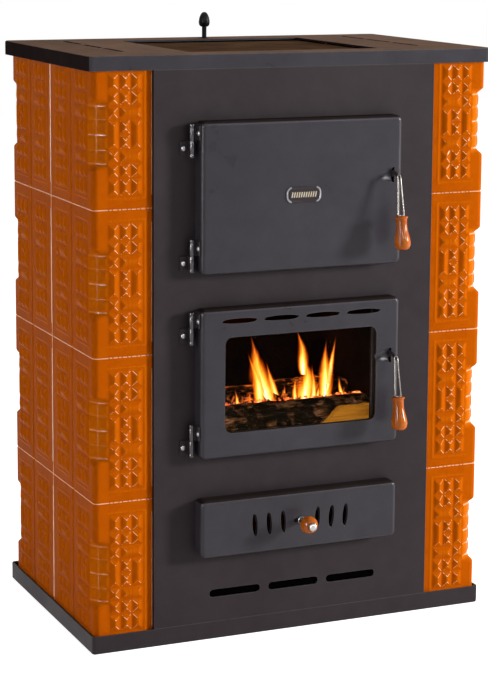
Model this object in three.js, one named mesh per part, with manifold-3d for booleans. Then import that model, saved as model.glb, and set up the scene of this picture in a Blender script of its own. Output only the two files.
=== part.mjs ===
// Tiled wood stove, millimetres, +Z up. The origin is the middle of the base on the floor,
// the front with its two doors faces -Y, and the hinges are on the left (-X).
import * as THREE from 'three';
import { mergeVertices } from 'three/addons/utils/BufferGeometryUtils.js';
import Module from 'manifold-3d';

const wasm = await Module();
wasm.setup();

// ---------------------------------------------------------------- driving dimensions
const GAP = 0.3; // clearance between pieces that seat on each other
const WELD = 0.5; // the parts of one welded or cast piece run this far into each other
const CUT = 1; // a cutter runs this far past the faces that it opens
const ARC_TRIM = 0.01; // keeps the two arcs of a fully round end apart

const PLATE_WIDTH = 740;
const PLATE_DEPTH = 460;
const PLATE_TOP_Z = 1000;
const PLATE_FLANGE = 24.7; // height of the folded edge of the top plate
const PLATE_SHEET = 3;
const PLATE_CORNER_R = 9;
const PLATE_EDGE_R = 2.5;

const TRAY_SIDE_INSET = 2.5; // the tray stands back under the edge of the top plate
const TRAY_BACK_INSET = 3;
const TRAY_WIDTH = PLATE_WIDTH - 2 * TRAY_SIDE_INSET;
const TRAY_DEPTH = PLATE_DEPTH - TRAY_BACK_INSET;
const TRAY_HEIGHT = 31.3;
const TRAY_SHEET = 3;
const TRAY_CORNER_R = 6;
const TRAY_EDGE_R = 3.5;

const TILE_ROWS = 4;
const TILE_HEIGHT = 242.4;
const TILE_JOINT = 3; // open joint between two rows of tiles
const TILE_FIRST_Z = 14.3;
const TILE_SHORT_LEG = 104; // along the front or the back
const TILE_LONG_LEG = 214.5; // along the side
const TILE_THICKNESS = 14;
const TILE_SIDE_INSET = 8; // from the edge of the top plate to the side face of the tiles
const TILE_FRONT_INSET = 5.5; // from the front of the top plate to the front face of the tiles
const TILE_MEETING_JOINT = 3; // upright joint in the middle of each side
const TILE_CORNER_R = 9; // corner above and below the waist
const TILE_CORNER_ZONE = 26; // width of the plain corner on each face
const TILE_WAIST_IN = 10.6; // how far the waist's edge is drawn in from both faces
const TILE_COLUMN = 20;
const TILE_DOUBLE_LINE = 108; // middle of the groove between the two panels of the long leg
const TILE_GROOVE_HALF = 4;
const TILE_GROOVE_DEPTH = 2.2;
const TILE_RELIEF = 3.5; // height of the pyramids and hips
const TILE_WAIST_RELIEF = 2.2;
const TILE_WAIST_OUT = [0.56, 0.83]; // direction straight out of a face of the waist
const TILE_FIELD_ROWS = [29, 24, 22, 24.5, 24.5, 22, 24, 29]; // heights of the relief rows

const PANEL_SHEET = 3;
const PANEL_RETURN = 26; // depth of the folded sides of the front panel
const PANEL_TILE_GAP = 0.6; // dark line between the front panel and the tiles

const DOOR_WIDTH = 369.4;
const DOOR_HEIGHT = 255;
const DOOR_STANDOFF = 26.6; // front of a door ahead of the front panel
const DOOR_BACK_GAP = 0.6;
const DOOR_SHEET = 3;
const DOOR_CORNER_R = 10;
const DOOR_EDGE_R = 7;
const INNER_EDGE_R = 0.5; // least radius inside a pressed edge
const UPPER_DOOR_Z = 763.5; // middle of the door
const LOWER_DOOR_Z = 450.5;
const DOOR_LAP_X = 38.7; // the door covers this much round its opening
const DOOR_LAP_Z = 17.5;
const DOOR_OPENING_WIDTH = DOOR_WIDTH - 2 * DOOR_LAP_X;
const DOOR_OPENING_HEIGHT = DOOR_HEIGHT - 2 * DOOR_LAP_Z;

const ROPE_DIAMETER = 8;
const ROPE_OUTSIDE = 8; // middle of the rope outside the edge of the opening
const ROPE_WIDTH = DOOR_OPENING_WIDTH + 2 * ROPE_OUTSIDE;
const ROPE_HEIGHT = DOOR_OPENING_HEIGHT + 2 * ROPE_OUTSIDE;
const ROPE_CORNER_R = 16;
const ROPE_SEAT_WIDTH = 12;
const ROPE_FLAT = 0.433; // from the middle of a six-sided rope to a flat, over its diameter
const LINER_BOSS_R = 5; // bosses that hold the sheet behind a door off its face
const LINER_BOSS_INSET = 3;

const WINDOW_MARGIN_X = 43.7;
const WINDOW_MARGIN_Z = 45.5;
const WINDOW_WIDTH = DOOR_WIDTH - 2 * WINDOW_MARGIN_X;
const WINDOW_HEIGHT = DOOR_HEIGHT - 2 * WINDOW_MARGIN_Z;
const WINDOW_R = 13;
const WINDOW_BELOW_MIDDLE = 3; // the window's middle is this far below the door's
const GLASS_THICKNESS = 4;
const GLASS_LAP = 7; // the pane reaches this far behind the edge of the window
const GLASS_CORNER_R = 4;
const RETAINER_SHEET = 2;
const DOOR_VENT_COUNT = 4;
const DOOR_VENT_HEIGHT = 9;
const DOOR_VENT_GAP = 10.9;
const DOOR_VENT_MARGIN = 36.35; // from the side of the door to the first slot
const DOOR_VENT_DROP = 21.5; // below the top of the door
const DOOR_VENT_PITCH = (DOOR_WIDTH - 2 * DOOR_VENT_MARGIN + DOOR_VENT_GAP) / DOOR_VENT_COUNT;
const DOOR_VENT_LENGTH = DOOR_VENT_PITCH - DOOR_VENT_GAP;
const LENS_END = 0.25; // height of the end of a lens-shaped slot, over its height in the middle
const INNER_VENT_HALF = 5; // half the height of the slots behind them
const INNER_VENT_WEB = 6; // half of what stands between the two slots behind them

const SLIT_INSET = 16.7; // from the side of the door
const SLIT_X = DOOR_WIDTH / 2 - SLIT_INSET;
const SLIT_WIDTH = 4.4;
const SLIT_HEIGHT = 26;
const SLIT_RISE = 26; // middle of the slit above the middle of the door
const SCOOP_LENGTH = 26;
const SCOOP_HEIGHT = 24;
const SCOOP_DEPTH = 4.5;
const SCOOP_FLOOR = 1.5; // metal left under the scoop
const SCOOP_WALL = 1; // and beside it

const HINGE_OUTSIDE = 11.3; // axis outside the side of the door
const HINGE_X = DOOR_WIDTH / 2 + HINGE_OUTSIDE;
const HINGE_STANDOFF = 12; // axis ahead of the front panel
const BARREL_R = 4.75;
const BARREL_HEIGHT = 56;
const HINGE_PIN_R = 2.4;
const HINGE_BORE_R = 2.9;
const HINGE_INSET = 4; // end of a hinge barrel from the end of the door
const HINGE_PIN_SHORT = 5; // the pin ends this far below the top of the barrel
const HINGE_CAP = 4; // closed end of the upper knuckle
const NECK_HALF = 2; // half the thickness of the metal between a knuckle and its leaf
const LEAF_SHEET = 3;
const LEAF_OUTWARD = 17; // the panel's leaf reaches this far to the left of the axis
const LEAF_INWARD = 4;
const LEAF_CUT_BACK = 3; // a leaf ends this far inside the outer end of its knuckle
const LEAF_JOINT_ROOM = 1; // and this far from the joint between the two knuckles
const DOOR_LEAF_FRONT = 3; // the door's leaf starts this far behind the door's face
const DOOR_LEAF_BACK = 3;
const HINGE_BOLT_R = 3.6;
const HINGE_BOLT_HEAD = 2.6;
const HINGE_BOLT_OUTWARD = 11; // the panel's bolt to the left of the axis
const HINGE_BOLT_FORWARD = 3.5; // the door's bolt ahead of the barrel
const HINGE_BOLT_SINK = 0.2;
const DOOR_SWING_CLEARANCE = 0.3;

const LEVER_THICKNESS = 3.2;
const LEVER_PIVOT_DROP = 2.5; // the pivot is this far below the middle of the slit
const LEVER_PIVOT_R = 3;
const LEVER_PIVOT_DEPTH = 7; // the pivot is this far behind the inside of the door's sheet
const LEVER_PIVOT_PLAY = 0.7; // round the pivot in its ears
const LEVER_EAR_SHEET = 2.4;
const LEVER_EAR_GAP = 0.6;
const LEVER_EAR_HALF = 7; // half the height of an ear
const LEVER_EAR_MARGIN = 3; // metal of an ear behind the pivot
const LEVER_TIP_STANDOFF = 48; // tip of the lever ahead of the front panel
const LEVER_NOSE = 9; // reaches this far behind the pivot
const LEVER_TOP = 10; // top edge of the lever above the pivot
const LEVER_WAIST = 4; // of the lever below the pivot
const LEVER_NOSE_TOP = 4;
const LEVER_NOSE_FOOT = 3;
const LEVER_SHOULDER = 6; // where the top edge starts to fall, ahead of the door's face
const LEVER_ELBOW = 4; // where the lower edge starts to fall, ahead of the door's face
const LEVER_ELBOW_RISE = 3.5;
const LEVER_TIP_TOP = 5;
const LEVER_TIP_REACH = 3; // round the eye of the wire
const LEVER_TIP_FOOT = 3.5;
const KEEPER_RISE = 6; // underside of the keeper above the pivot
const KEEPER_SHEET = 3;
const KEEPER_HALF = 7;
const KEEPER_REACH = 6.5; // ahead of the front panel
const WIRE_R = 1.5;
const WIRE_SPREAD = 5.5; // half the distance of the two wires at the grip
const WIRE_LENGTH = 64;
const WIRE_APEX = 0.8; // half the distance of the two wires at the lever
const HUB_BELOW = 1.2; // washer between the wires and the grip
const HUB_ABOVE = 0.8;
const GRIP_LENGTH = 58;
const GRIP_LEAN_DEG = 8.5; // forward lean of the wire and the grip
const GRIP_BORE_R = 3.4;
const GRIP_STUB_R = 3;
const GRIP_STUB_LENGTH = 16;
const GRIP_BORE_SPARE = 2;

const DRAWER_WIDTH = 368;
const DRAWER_HEIGHT = 100;
const DRAWER_Z = 202;
const DRAWER_STANDOFF = 27.5;
const DRAWER_OPENING_WIDTH = 332;
const DRAWER_OPENING_HEIGHT = 84;
const DRAWER_SLOT_HEIGHT = 38;
const DRAWER_SLOT_WIDTH = 8.5;
const DRAWER_SLOT_X = [32, 58.5, 85];
const DRAWER_SLOT_LEAN_DEG = 4;
const PAN_WIDTH = 322;
const PAN_LENGTH = 360;
const PAN_HEIGHT = 74;
const PAN_FRONT_HEIGHT = 14;
const PAN_SHEET = 2;
const SHUTTER_SHEET = 2;
const SHUTTER_RUN = 8.5; // travel of the air slide to each side
const SHUTTER_SIDE_MARGIN = 14; // past the middle of the outermost slot
const SHUTTER_EDGE_MARGIN = 5; // above and below the slots
const SHUTTER_RAIL_HEIGHT = 2;
const SHUTTER_RAIL_SPARE = 3;
const SHUTTER_RAIL_DEPTH = 1.6; // behind the shutter
const STEM_R = 3;
const STEM_SLOT_HEIGHT = 7;
const STEM_SLOT_PLAY = 1;
const AIR_KNOB_R = 15;
const AIR_KNOB_STANDOFF = 62;
const AIR_KNOB_FLAT = 0.88; // ends of the knob, over its radius
const FERRULE_R = 6; // at the drawer's face
const FERRULE_WAIST_R = 7;
const FERRULE_END_R = 7.4;
const FERRULE_ROOM = 1.5; // between the ferrule and the drawer's face
const FERRULE_END = 0.9; // end of the ferrule, over the knob's radius
const FERRULE_TAPER = 2;
const CAP_R = 7.2;
const CAP_RIM_R = 6.6;
const CAP_REACH = 3.5; // the stem's end ahead of the knob
const CAP_RIM = 0.6;
const CAP_CROWN = 1.8;

const FLOOR_VENT_LENGTH = 95;
const FLOOR_VENT_HEIGHT = 14;
const FLOOR_VENT_PITCH = 110;
const FLOOR_VENT_Z = 81;

const RECESS_SIDE_INSET = 195;
const RECESS_FRONT_INSET = 48;
const RECESS_BACK_INSET = 75;
const RECESS_WIDTH = PLATE_WIDTH - 2 * RECESS_SIDE_INSET;
const RECESS_DEPTH = PLATE_DEPTH - RECESS_FRONT_INSET - RECESS_BACK_INSET;
const RECESS_CORNER_R = 5;
const RECESS_DROP = 5.7; // hotplate below the surface of the top plate
const HOTPLATE_LAP = 5;
const HOTPLATE_CORNER_R = 8;
const HOTPLATE_THICKNESS = 10;
const TOP_SLOT_INSET = 94; // from the side of the top plate
const TOP_SLOT_LENGTH = 100;
const TOP_SLOT_WIDTH = 4;
const TOP_SLOT_BRIDGE = 5.5;
const TOP_SLOT_COUNT = 3;
const TOP_SLOT_MIDDLE_Y = 21;
const TOP_SLOT_X = PLATE_WIDTH / 2 - TOP_SLOT_INSET;

const DAMPER_BACK_INSET = 47; // from the back of the top plate
const DAMPER_Y = PLATE_DEPTH / 2 - DAMPER_BACK_INSET;
const DAMPER_SLOT_WIDTH = 10;
const DAMPER_SLOT_END = 1; // room past the rod at both ends of its travel
const DAMPER_FORWARD = 10; // travel of the damper rod
const DAMPER_BACK = 28;
const DAMPER_ROD_R = 4.25;
const DAMPER_ROD_TOP = 21; // end of the bare rod above the top plate
const DAMPER_TANG_R = 3; // end of the rod inside the knob
const DAMPER_TANG_LENGTH = 14;
const DAMPER_BORE_R = 3.4;
const DAMPER_BORE_DEPTH = 16;
const DAMPER_PLATE_WIDTH = 130;
const DAMPER_PLATE_DEPTH = 24;
const DAMPER_PLATE_SHEET = 3;
const DAMPER_KNOB_HEIGHT = 27;
const DAMPER_KNOB_R = 10.2;
// Outline of the egg-shaped knob, in shares of its radius and its height.
const DAMPER_KNOB_PROFILE = [[0.55, 0], [0.85, 0.1], [1, 0.35], [0.88, 0.6], [0.55, 0.88], [0, 1]];
const DAMPER_PORT_WIDTH = 110;
const DAMPER_PORT_DEPTH = 14;
const DAMPER_PORT_R = 3;

const BODY_SIDE_ROOM = 35.4; // from the side of the front panel to the steel firebox body
const BODY_SHEET = 4;
const BODY_BACK_ROOM = 1.5; // between the body and the back panel
const BODY_TOP_SHEET = 3;
const BODY_LEDGE = 12; // welded ledges that carry the inner pieces
const BODY_LEDGE_HEIGHT = 4;
const FACE_PLATE_SHEET = 5;
const FACE_PLATE_BOTTOM = 40;
const FACE_PLATE_FOOT = 40; // width of its two feet
const FIRE_HOLE_INSET = 12; // of the hole under the hotplate, inside its recess
const FIRE_HOLE_R = 10;
const ASH_SHELF_Z = 161;
const ASH_SHELF_SHEET = 3;
const HEARTH_Z = 316;
const HEARTH_THICKNESS = 20;
const GRATE_SEAT = 8; // width of the rebate that carries the grate
const GRATE_WIDTH = 230;
const GRATE_DEPTH = 200;
const GRATE_THICKNESS = 12;
const GRATE_RIM = 14;
const GRATE_SLOTS = 9;
const GRATE_SLOT_WIDTH = 11;
const BRICK_THICKNESS = 25;
const BRICK_HEIGHT = 280;
const BAFFLE_THICKNESS = 12;
const BAFFLE_BACK_Z = 790;
const BAFFLE_FRONT_Z = 880;
const BAFFLE_FRONT_Y = -90;

const FLUE_R = 75;
const FLUE_SHEET = 3;
const FLUE_Z = 886;
const FLUE_LENGTH = 74;
const FLUE_RING_R = 92;
const FLUE_RING_SHEET = 5;
const FLUE_PANEL_HOLE_R = 97;

const BACK_SHEET = 2;
const BACK_PANEL_TOP_Z = 972;
const BACK_VENT_BANKS = [170, 600]; // height of the lowest slot of each bank
const BACK_VENT_ROWS = 3;
const BACK_VENT_X = 90;
const BACK_VENT_LENGTH = 140;
const BACK_VENT_HEIGHT = 8;
const BACK_VENT_PITCH = 30;
const CARRIER_SHEET = 2;
const CARRIER_LEDGE = 12;
const CARRIER_LEDGE_HEIGHT = 2.2;

const ROUND_SIDES = 24; // sides of the large round pieces

// ---------------------------------------------------------------- planes that follow
const FRONT_Y = -PLATE_DEPTH / 2; // outer face of the front panel
const TILE_FACE_X = PLATE_WIDTH / 2 - TILE_SIDE_INSET;
const TILE_FRONT_Y = FRONT_Y + TILE_FRONT_INSET;
const TILE_BACK_Y = TILE_FRONT_Y + 2 * TILE_LONG_LEG + TILE_MEETING_JOINT;
const TILE_PITCH = TILE_HEIGHT + TILE_JOINT;
const PANEL_WIDTH = 2 * (TILE_FACE_X - TILE_SHORT_LEG - PANEL_TILE_GAP);
const BODY_WIDTH = PANEL_WIDTH - 2 * BODY_SIDE_ROOM;
const BODY_BACK_Y = TILE_BACK_Y - BACK_SHEET - BODY_BACK_ROOM;
const FLUE_END_Y = BODY_BACK_Y + FLUE_LENGTH;
const PANEL_BOTTOM = TRAY_HEIGHT + GAP;
const PANEL_TOP = PLATE_TOP_Z - PLATE_FLANGE - GAP;
const DOOR_BACK_Y = FRONT_Y - DOOR_BACK_GAP;
const DOOR_FRONT_Y = FRONT_Y - DOOR_STANDOFF;
const DOOR_INNER_Y = DOOR_FRONT_Y + DOOR_SHEET;
const LEVER_PIVOT_Y = DOOR_INNER_Y + LEVER_PIVOT_DEPTH;
const GLASS_FRONT_Y = DOOR_INNER_Y + GAP;
const RETAINER_FRONT_Y = GLASS_FRONT_Y + GLASS_THICKNESS + GAP;
const ROPE_BACK_Y = FRONT_Y - GAP;
const ROPE_SEAT_BACK_Y = ROPE_BACK_Y - ROPE_DIAMETER - GAP;
const HINGE_Y = FRONT_Y - HINGE_STANDOFF;
const FACE_PLATE_Y = FRONT_Y + PANEL_SHEET + GAP;
const BODY_FRONT_Y = FACE_PLATE_Y + FACE_PLATE_SHEET + GAP;
const BODY_INNER_X = BODY_WIDTH / 2 - BODY_SHEET;
const BODY_INNER_BACK = BODY_BACK_Y - BODY_SHEET;
const HOTPLATE_TOP = PLATE_TOP_Z - RECESS_DROP;
const HOTPLATE_BOTTOM = HOTPLATE_TOP - HOTPLATE_THICKNESS;
const BODY_TOP_Z = HOTPLATE_BOTTOM - GAP;
const BODY_TOP_BOTTOM = BODY_TOP_Z - BODY_TOP_SHEET;
const BODY_SHELL_TOP = BODY_TOP_BOTTOM - GAP;
const INSIDE_TRAY_Z = TRAY_SHEET + GAP;
const RECESS_MIDDLE_Y = FRONT_Y + RECESS_FRONT_INSET + RECESS_DEPTH / 2;
const DRAWER_FRONT_Y = FRONT_Y - DRAWER_STANDOFF;
const DRAWER_INNER_Y = DRAWER_FRONT_Y + DOOR_SHEET;
const SHUTTER_FRONT_Y = DRAWER_INNER_Y + GAP;
const PAN_FRONT_Y = SHUTTER_FRONT_Y + SHUTTER_SHEET + GAP;
const PAN_BOTTOM = ASH_SHELF_Z + GAP;
const leverPivotZ = (doorZ) => doorZ + SLIT_RISE - LEVER_PIVOT_DROP;

// ---------------------------------------------------------------- materials
const finish = (color, roughness, metalness) => () =>
  new THREE.MeshStandardMaterial({ color, roughness, metalness });
const blackSteel = finish(0x34363c, 0.5, 0.4);
const darkSteel = finish(0x232326, 0.6, 0.4);
const castIron = finish(0x2c2b2a, 0.75, 0.3);
const glaze = finish(0xb85a0a, 0.18, 0.0);
const brightSteel = finish(0xc9cbcf, 0.25, 0.9);
const fireclay = finish(0xc9ab84, 0.9, 0.0);
const ropeYarn = finish(0x3a3a3a, 0.95, 0.0);
const bakelite = finish(0x141416, 0.3, 0.0);
const clearGlass = () =>
  new THREE.MeshStandardMaterial({ color: 0x9aa0a4, roughness: 0.05, transparent: true, opacity: 0.35 });

// ---------------------------------------------------------------- shared operations
function toSolid(geometry) {
  const bare = geometry.clone();
  bare.deleteAttribute('normal');
  bare.deleteAttribute('uv');
  const merged = mergeVertices(bare, 1e-4);
  return new wasm.Manifold(new wasm.Mesh({
    numProp: 3,
    vertProperties: new Float32Array(merged.attributes.position.array),
    triVerts: new Uint32Array(merged.index.array),
  }));
}

function toGeometry(solid) {
  const mesh = solid.getMesh();
  const geometry = new THREE.BufferGeometry();
  geometry.setAttribute('position', new THREE.BufferAttribute(new Float32Array(mesh.vertProperties), 3));
  geometry.setIndex(new THREE.BufferAttribute(new Uint32Array(mesh.triVerts), 1));
  return geometry;
}

const joined = (solids) => solids.reduce((whole, next) => whole.add(next));
const cutBy = (solid, cutters) => cutters.reduce((rest, cutter) => rest.subtract(cutter), solid);

function box(x0, x1, y0, y1, z0, z1) {
  const geometry = new THREE.BoxGeometry(x1 - x0, y1 - y0, z1 - z0);
  geometry.translate((x0 + x1) / 2, (y0 + y1) / 2, (z0 + z1) / 2);
  return toSolid(geometry);
}

// A closed outline of points [a, b] as a THREE.Shape.
const outline = (points) => new THREE.Shape(points.map(([a, b]) => new THREE.Vector2(a, b)));

function roundedPoints(width, height, radius, segments, a0 = 0, b0 = 0) {
  const points = [];
  const r = Math.max(radius, 0.01);
  const corners = [[1, -1, -90], [1, 1, 0], [-1, 1, 90], [-1, -1, 180]];
  for (const [sa, sb, start] of corners) {
    for (let i = 0; i <= segments; i += 1) {
      const turn = THREE.MathUtils.degToRad(start + (90 * i) / segments);
      points.push([
        a0 + sa * (width / 2 - r) + r * Math.cos(turn),
        b0 + sb * (height / 2 - r) + r * Math.sin(turn),
      ]);
    }
  }
  return points;
}

// Extrusions of an outline: drawn in XY and raised along Z, drawn in XZ and swept along Y,
// or drawn in YZ and swept along X.
function extruded(shape, from, to, frame) {
  const geometry = new THREE.ExtrudeGeometry(shape, { depth: to - from, bevelEnabled: false });
  geometry.translate(0, 0, from);
  if (frame) geometry.applyMatrix4(frame);
  return toSolid(geometry);
}
const axes = (a, b, depth) => new THREE.Matrix4().makeBasis(
  new THREE.Vector3(...a), new THREE.Vector3(...b), new THREE.Vector3(...depth));
const ALONG_Y = axes([1, 0, 0], [0, 0, 1], [0, -1, 0]);
const ALONG_X = axes([0, 1, 0], [0, 0, 1], [1, 0, 0]);
const alongZ = (shape, z0, z1) => extruded(shape, z0, z1, null);
const alongY = (shape, y0, y1) => extruded(shape, -y1, -y0, ALONG_Y);
const alongX = (shape, x0, x1) => extruded(shape, x0, x1, ALONG_X);

// A revolved profile of points [radius, height] about Z.
function revolved(profile, segments) {
  const points = profile.map(([r, z]) => new THREE.Vector2(r, z));
  const geometry = new THREE.LatheGeometry(points, segments);
  geometry.rotateX(Math.PI / 2);
  return toSolid(geometry);
}

// Rings of equally many points, skinned in order, with a fan at both ends.
function skinned(rings) {
  const count = rings[0].length;
  const position = rings.flat(2);
  const index = [];
  for (let ring = 0; ring + 1 < rings.length; ring += 1) {
    for (let i = 0; i < count; i += 1) {
      const a = ring * count + i;
      const b = ring * count + ((i + 1) % count);
      index.push(a, b, b + count, a, b + count, a + count);
    }
  }
  const last = (rings.length - 1) * count;
  for (let i = 1; i + 1 < count; i += 1) {
    index.push(0, i + 1, i);
    index.push(last, last + i, last + i + 1);
  }
  const geometry = new THREE.BufferGeometry();
  geometry.setAttribute('position', new THREE.Float32BufferAttribute(position, 3));
  geometry.setIndex(index);
  return toSolid(geometry);
}

// A pressed sheet cup: a rounded rectangle with a rounded edge round its face. It is made
// face down at the origin, open upwards.
function pressedCup(width, height, depth, sheet, cornerR, edgeR) {
  const ring = (inset, level) => roundedPoints(width - 2 * inset, height - 2 * inset, cornerR - inset, 2)
    .map(([a, b]) => [a, b, level]);
  const rings = [];
  const edgeSteps = 2;
  for (let i = 0; i <= edgeSteps; i += 1) {
    const turn = (Math.PI / 2) * (1 - i / edgeSteps);
    rings.push(ring(edgeR * (1 - Math.cos(turn)), edgeR * (1 - Math.sin(turn))));
  }
  rings.push(ring(0, depth), ring(sheet, depth));
  const innerR = Math.max(edgeR - sheet, INNER_EDGE_R);
  rings.push(ring(sheet, sheet + innerR), ring(sheet + innerR, sheet));
  return skinned(rings);
}

const placed = (solid, matrix) => {
  const geometry = toGeometry(solid);
  geometry.applyMatrix4(matrix);
  return toSolid(geometry);
};
const moved = (solid, x, y, z) => placed(solid, new THREE.Matrix4().makeTranslation(x, y, z));

// A pressed cup that faces the front, with its middle at height z.
function frontCup(width, height, depth, frontY, z) {
  const cup = pressedCup(width, height, depth, DOOR_SHEET, DOOR_CORNER_R, DOOR_EDGE_R);
  const turned = axes([1, 0, 0], [0, 0, -1], [0, 1, 0]);
  return moved(placed(cup, turned), 0, frontY, z);
}

const group = new THREE.Group();
function addPiece(name, solid, material, parent = group) {
  const mesh = new THREE.Mesh(toGeometry(solid), material());
  mesh.name = name;
  parent.add(mesh);
  return mesh;
}

// ---------------------------------------------------------------- casing
function makeBaseTray() {
  const cup = pressedCup(TRAY_WIDTH, TRAY_DEPTH, TRAY_HEIGHT, TRAY_SHEET, TRAY_CORNER_R, TRAY_EDGE_R);
  addPiece('base_tray', moved(cup, 0, FRONT_Y + TRAY_DEPTH / 2, 0), blackSteel);
}

const slotShape = (length, height, a, b, segments = 3) => outline(
  roundedPoints(length, height, height / 2 - ARC_TRIM, segments, a, b));

function doorOpening(z) {
  return box(-DOOR_OPENING_WIDTH / 2, DOOR_OPENING_WIDTH / 2, FRONT_Y - CUT, BODY_FRONT_Y + CUT,
    z - DOOR_OPENING_HEIGHT / 2, z + DOOR_OPENING_HEIGHT / 2);
}

function drawerOpening() {
  return box(-DRAWER_OPENING_WIDTH / 2, DRAWER_OPENING_WIDTH / 2, FRONT_Y - CUT, BODY_FRONT_Y + CUT,
    DRAWER_Z - DRAWER_OPENING_HEIGHT / 2, DRAWER_Z + DRAWER_OPENING_HEIGHT / 2);
}

function keeper(doorZ) {
  const low = leverPivotZ(doorZ) + KEEPER_RISE;
  return box(SLIT_X - KEEPER_HALF, SLIT_X + KEEPER_HALF, FRONT_Y - KEEPER_REACH, FRONT_Y + WELD,
    low, low + KEEPER_SHEET);
}

function makeFrontPanel() {
  const half = PANEL_WIDTH / 2;
  const face = box(-half, half, FRONT_Y, FRONT_Y + PANEL_SHEET, PANEL_BOTTOM, PANEL_TOP);
  const sides = [-1, 1].map((side) => box(
    side < 0 ? -half : half - PANEL_SHEET, side < 0 ? PANEL_SHEET - half : half,
    FRONT_Y, FRONT_Y + PANEL_RETURN, PANEL_BOTTOM, PANEL_TOP));
  const vents = [-1, 0, 1].map((place) => alongY(
    slotShape(FLOOR_VENT_LENGTH, FLOOR_VENT_HEIGHT, place * FLOOR_VENT_PITCH, FLOOR_VENT_Z),
    FRONT_Y - CUT, FRONT_Y + PANEL_SHEET + CUT));
  const cutters = [doorOpening(UPPER_DOOR_Z), doorOpening(LOWER_DOOR_Z), drawerOpening(), ...vents];
  const opened = cutBy(joined([face, ...sides]), cutters);
  addPiece('front_panel', joined([opened, keeper(UPPER_DOOR_Z), keeper(LOWER_DOOR_Z)]), blackSteel);
}

function makeTopPlate() {
  const cup = pressedCup(PLATE_WIDTH, PLATE_DEPTH, PLATE_FLANGE, PLATE_SHEET, PLATE_CORNER_R, PLATE_EDGE_R);
  const turned = placed(cup, axes([1, 0, 0], [0, -1, 0], [0, 0, -1]));
  const through = (points) => alongZ(outline(points), PLATE_TOP_Z - PLATE_SHEET - CUT, PLATE_TOP_Z + CUT);
  const recess = roundedPoints(RECESS_WIDTH, RECESS_DEPTH, RECESS_CORNER_R, 3, 0, RECESS_MIDDLE_Y);
  const cutters = [through(recess)];
  const pitch = TOP_SLOT_LENGTH + TOP_SLOT_BRIDGE;
  for (const side of [-1, 1]) {
    for (let i = 0; i < TOP_SLOT_COUNT; i += 1) {
      const y = TOP_SLOT_MIDDLE_Y + (i - (TOP_SLOT_COUNT - 1) / 2) * pitch;
      cutters.push(through(roundedPoints(
        TOP_SLOT_WIDTH, TOP_SLOT_LENGTH, TOP_SLOT_WIDTH / 2 - ARC_TRIM, 1, side * TOP_SLOT_X, y)));
    }
  }
  const slotFront = DAMPER_Y - DAMPER_FORWARD - DAMPER_ROD_R - DAMPER_SLOT_END;
  const slotBack = DAMPER_Y + DAMPER_BACK + DAMPER_ROD_R + DAMPER_SLOT_END;
  cutters.push(through(roundedPoints(DAMPER_SLOT_WIDTH, slotBack - slotFront,
    DAMPER_SLOT_WIDTH / 2 - ARC_TRIM, 3, 0, (slotFront + slotBack) / 2)));
  addPiece('top_plate', cutBy(moved(turned, 0, 0, PLATE_TOP_Z), cutters), blackSteel);
}

function makeHotplate() {
  const shape = outline(roundedPoints(
    RECESS_WIDTH + 2 * HOTPLATE_LAP, RECESS_DEPTH + 2 * HOTPLATE_LAP, HOTPLATE_CORNER_R, 3,
    0, RECESS_MIDDLE_Y));
  addPiece('hotplate', alongZ(shape, HOTPLATE_BOTTOM, HOTPLATE_TOP), castIron);
}

// Sheet behind the tiles of one side, with a ledge under every tile.
function makeSideCarrier(side) {
  const outer = TILE_FACE_X - TILE_THICKNESS - GAP;
  const frontY = TILE_FRONT_Y + TILE_THICKNESS + GAP;
  const backY = TILE_BACK_Y - TILE_THICKNESS - GAP;
  const inner = outer - CARRIER_SHEET;
  const flat = (x0, x1, ...rest) => (side > 0 ? box(x0, x1, ...rest) : box(-x1, -x0, ...rest));
  const sheets = [flat(inner, outer, frontY, backY, INSIDE_TRAY_Z, PLATE_TOP_Z - PLATE_SHEET - GAP)];
  const foldEnd = PANEL_WIDTH / 2 + PANEL_TILE_GAP;
  sheets.push(flat(foldEnd, outer, frontY, frontY + CARRIER_SHEET, INSIDE_TRAY_Z, PANEL_TOP));
  sheets.push(flat(foldEnd, outer, backY - CARRIER_SHEET, backY, INSIDE_TRAY_Z, PANEL_TOP));
  for (let row = 0; row < TILE_ROWS; row += 1) {
    const top = TILE_FIRST_Z + row * TILE_PITCH - GAP;
    const bottom = top - CARRIER_LEDGE_HEIGHT;
    sheets.push(flat(inner, outer + CARRIER_LEDGE, frontY, backY, bottom, top));
  }
  addPiece(side < 0 ? 'left_tile_carrier' : 'right_tile_carrier', joined(sheets), darkSteel);
}

function makeBackPanel() {
  const half = TILE_FACE_X - TILE_SHORT_LEG - PANEL_TILE_GAP;
  const y0 = TILE_BACK_Y - BACK_SHEET;
  const face = box(-half, half, y0, TILE_BACK_Y, INSIDE_TRAY_Z, BACK_PANEL_TOP_Z);
  const folds = [-1, 1].map((side) => box(
    side < 0 ? -half : half - BACK_SHEET, side < 0 ? BACK_SHEET - half : half,
    TILE_BACK_Y - TILE_THICKNESS, TILE_BACK_Y, INSIDE_TRAY_Z, BACK_PANEL_TOP_Z));
  const through = (shape) => alongY(shape, y0 - CUT, TILE_BACK_Y + CUT);
  const flueHole = through(outline(ringPoints(FLUE_PANEL_HOLE_R, ROUND_SIDES, 0, FLUE_Z)));
  const vents = [];
  for (const bank of BACK_VENT_BANKS) {
    for (let row = 0; row < BACK_VENT_ROWS; row += 1) {
      for (const side of [-1, 1]) {
        vents.push(through(slotShape(BACK_VENT_LENGTH, BACK_VENT_HEIGHT, side * BACK_VENT_X,
          bank + row * BACK_VENT_PITCH, 1)));
      }
    }
  }
  addPiece('back_panel', cutBy(joined([face, ...folds]), [flueHole, ...vents]), darkSteel);
}

function ringPoints(radius, count, a0 = 0, b0 = 0) {
  return Array.from({ length: count }, (_, i) => {
    const turn = (2 * Math.PI * i) / count;
    return [a0 + radius * Math.cos(turn), b0 + radius * Math.sin(turn)];
  });
}

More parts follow.
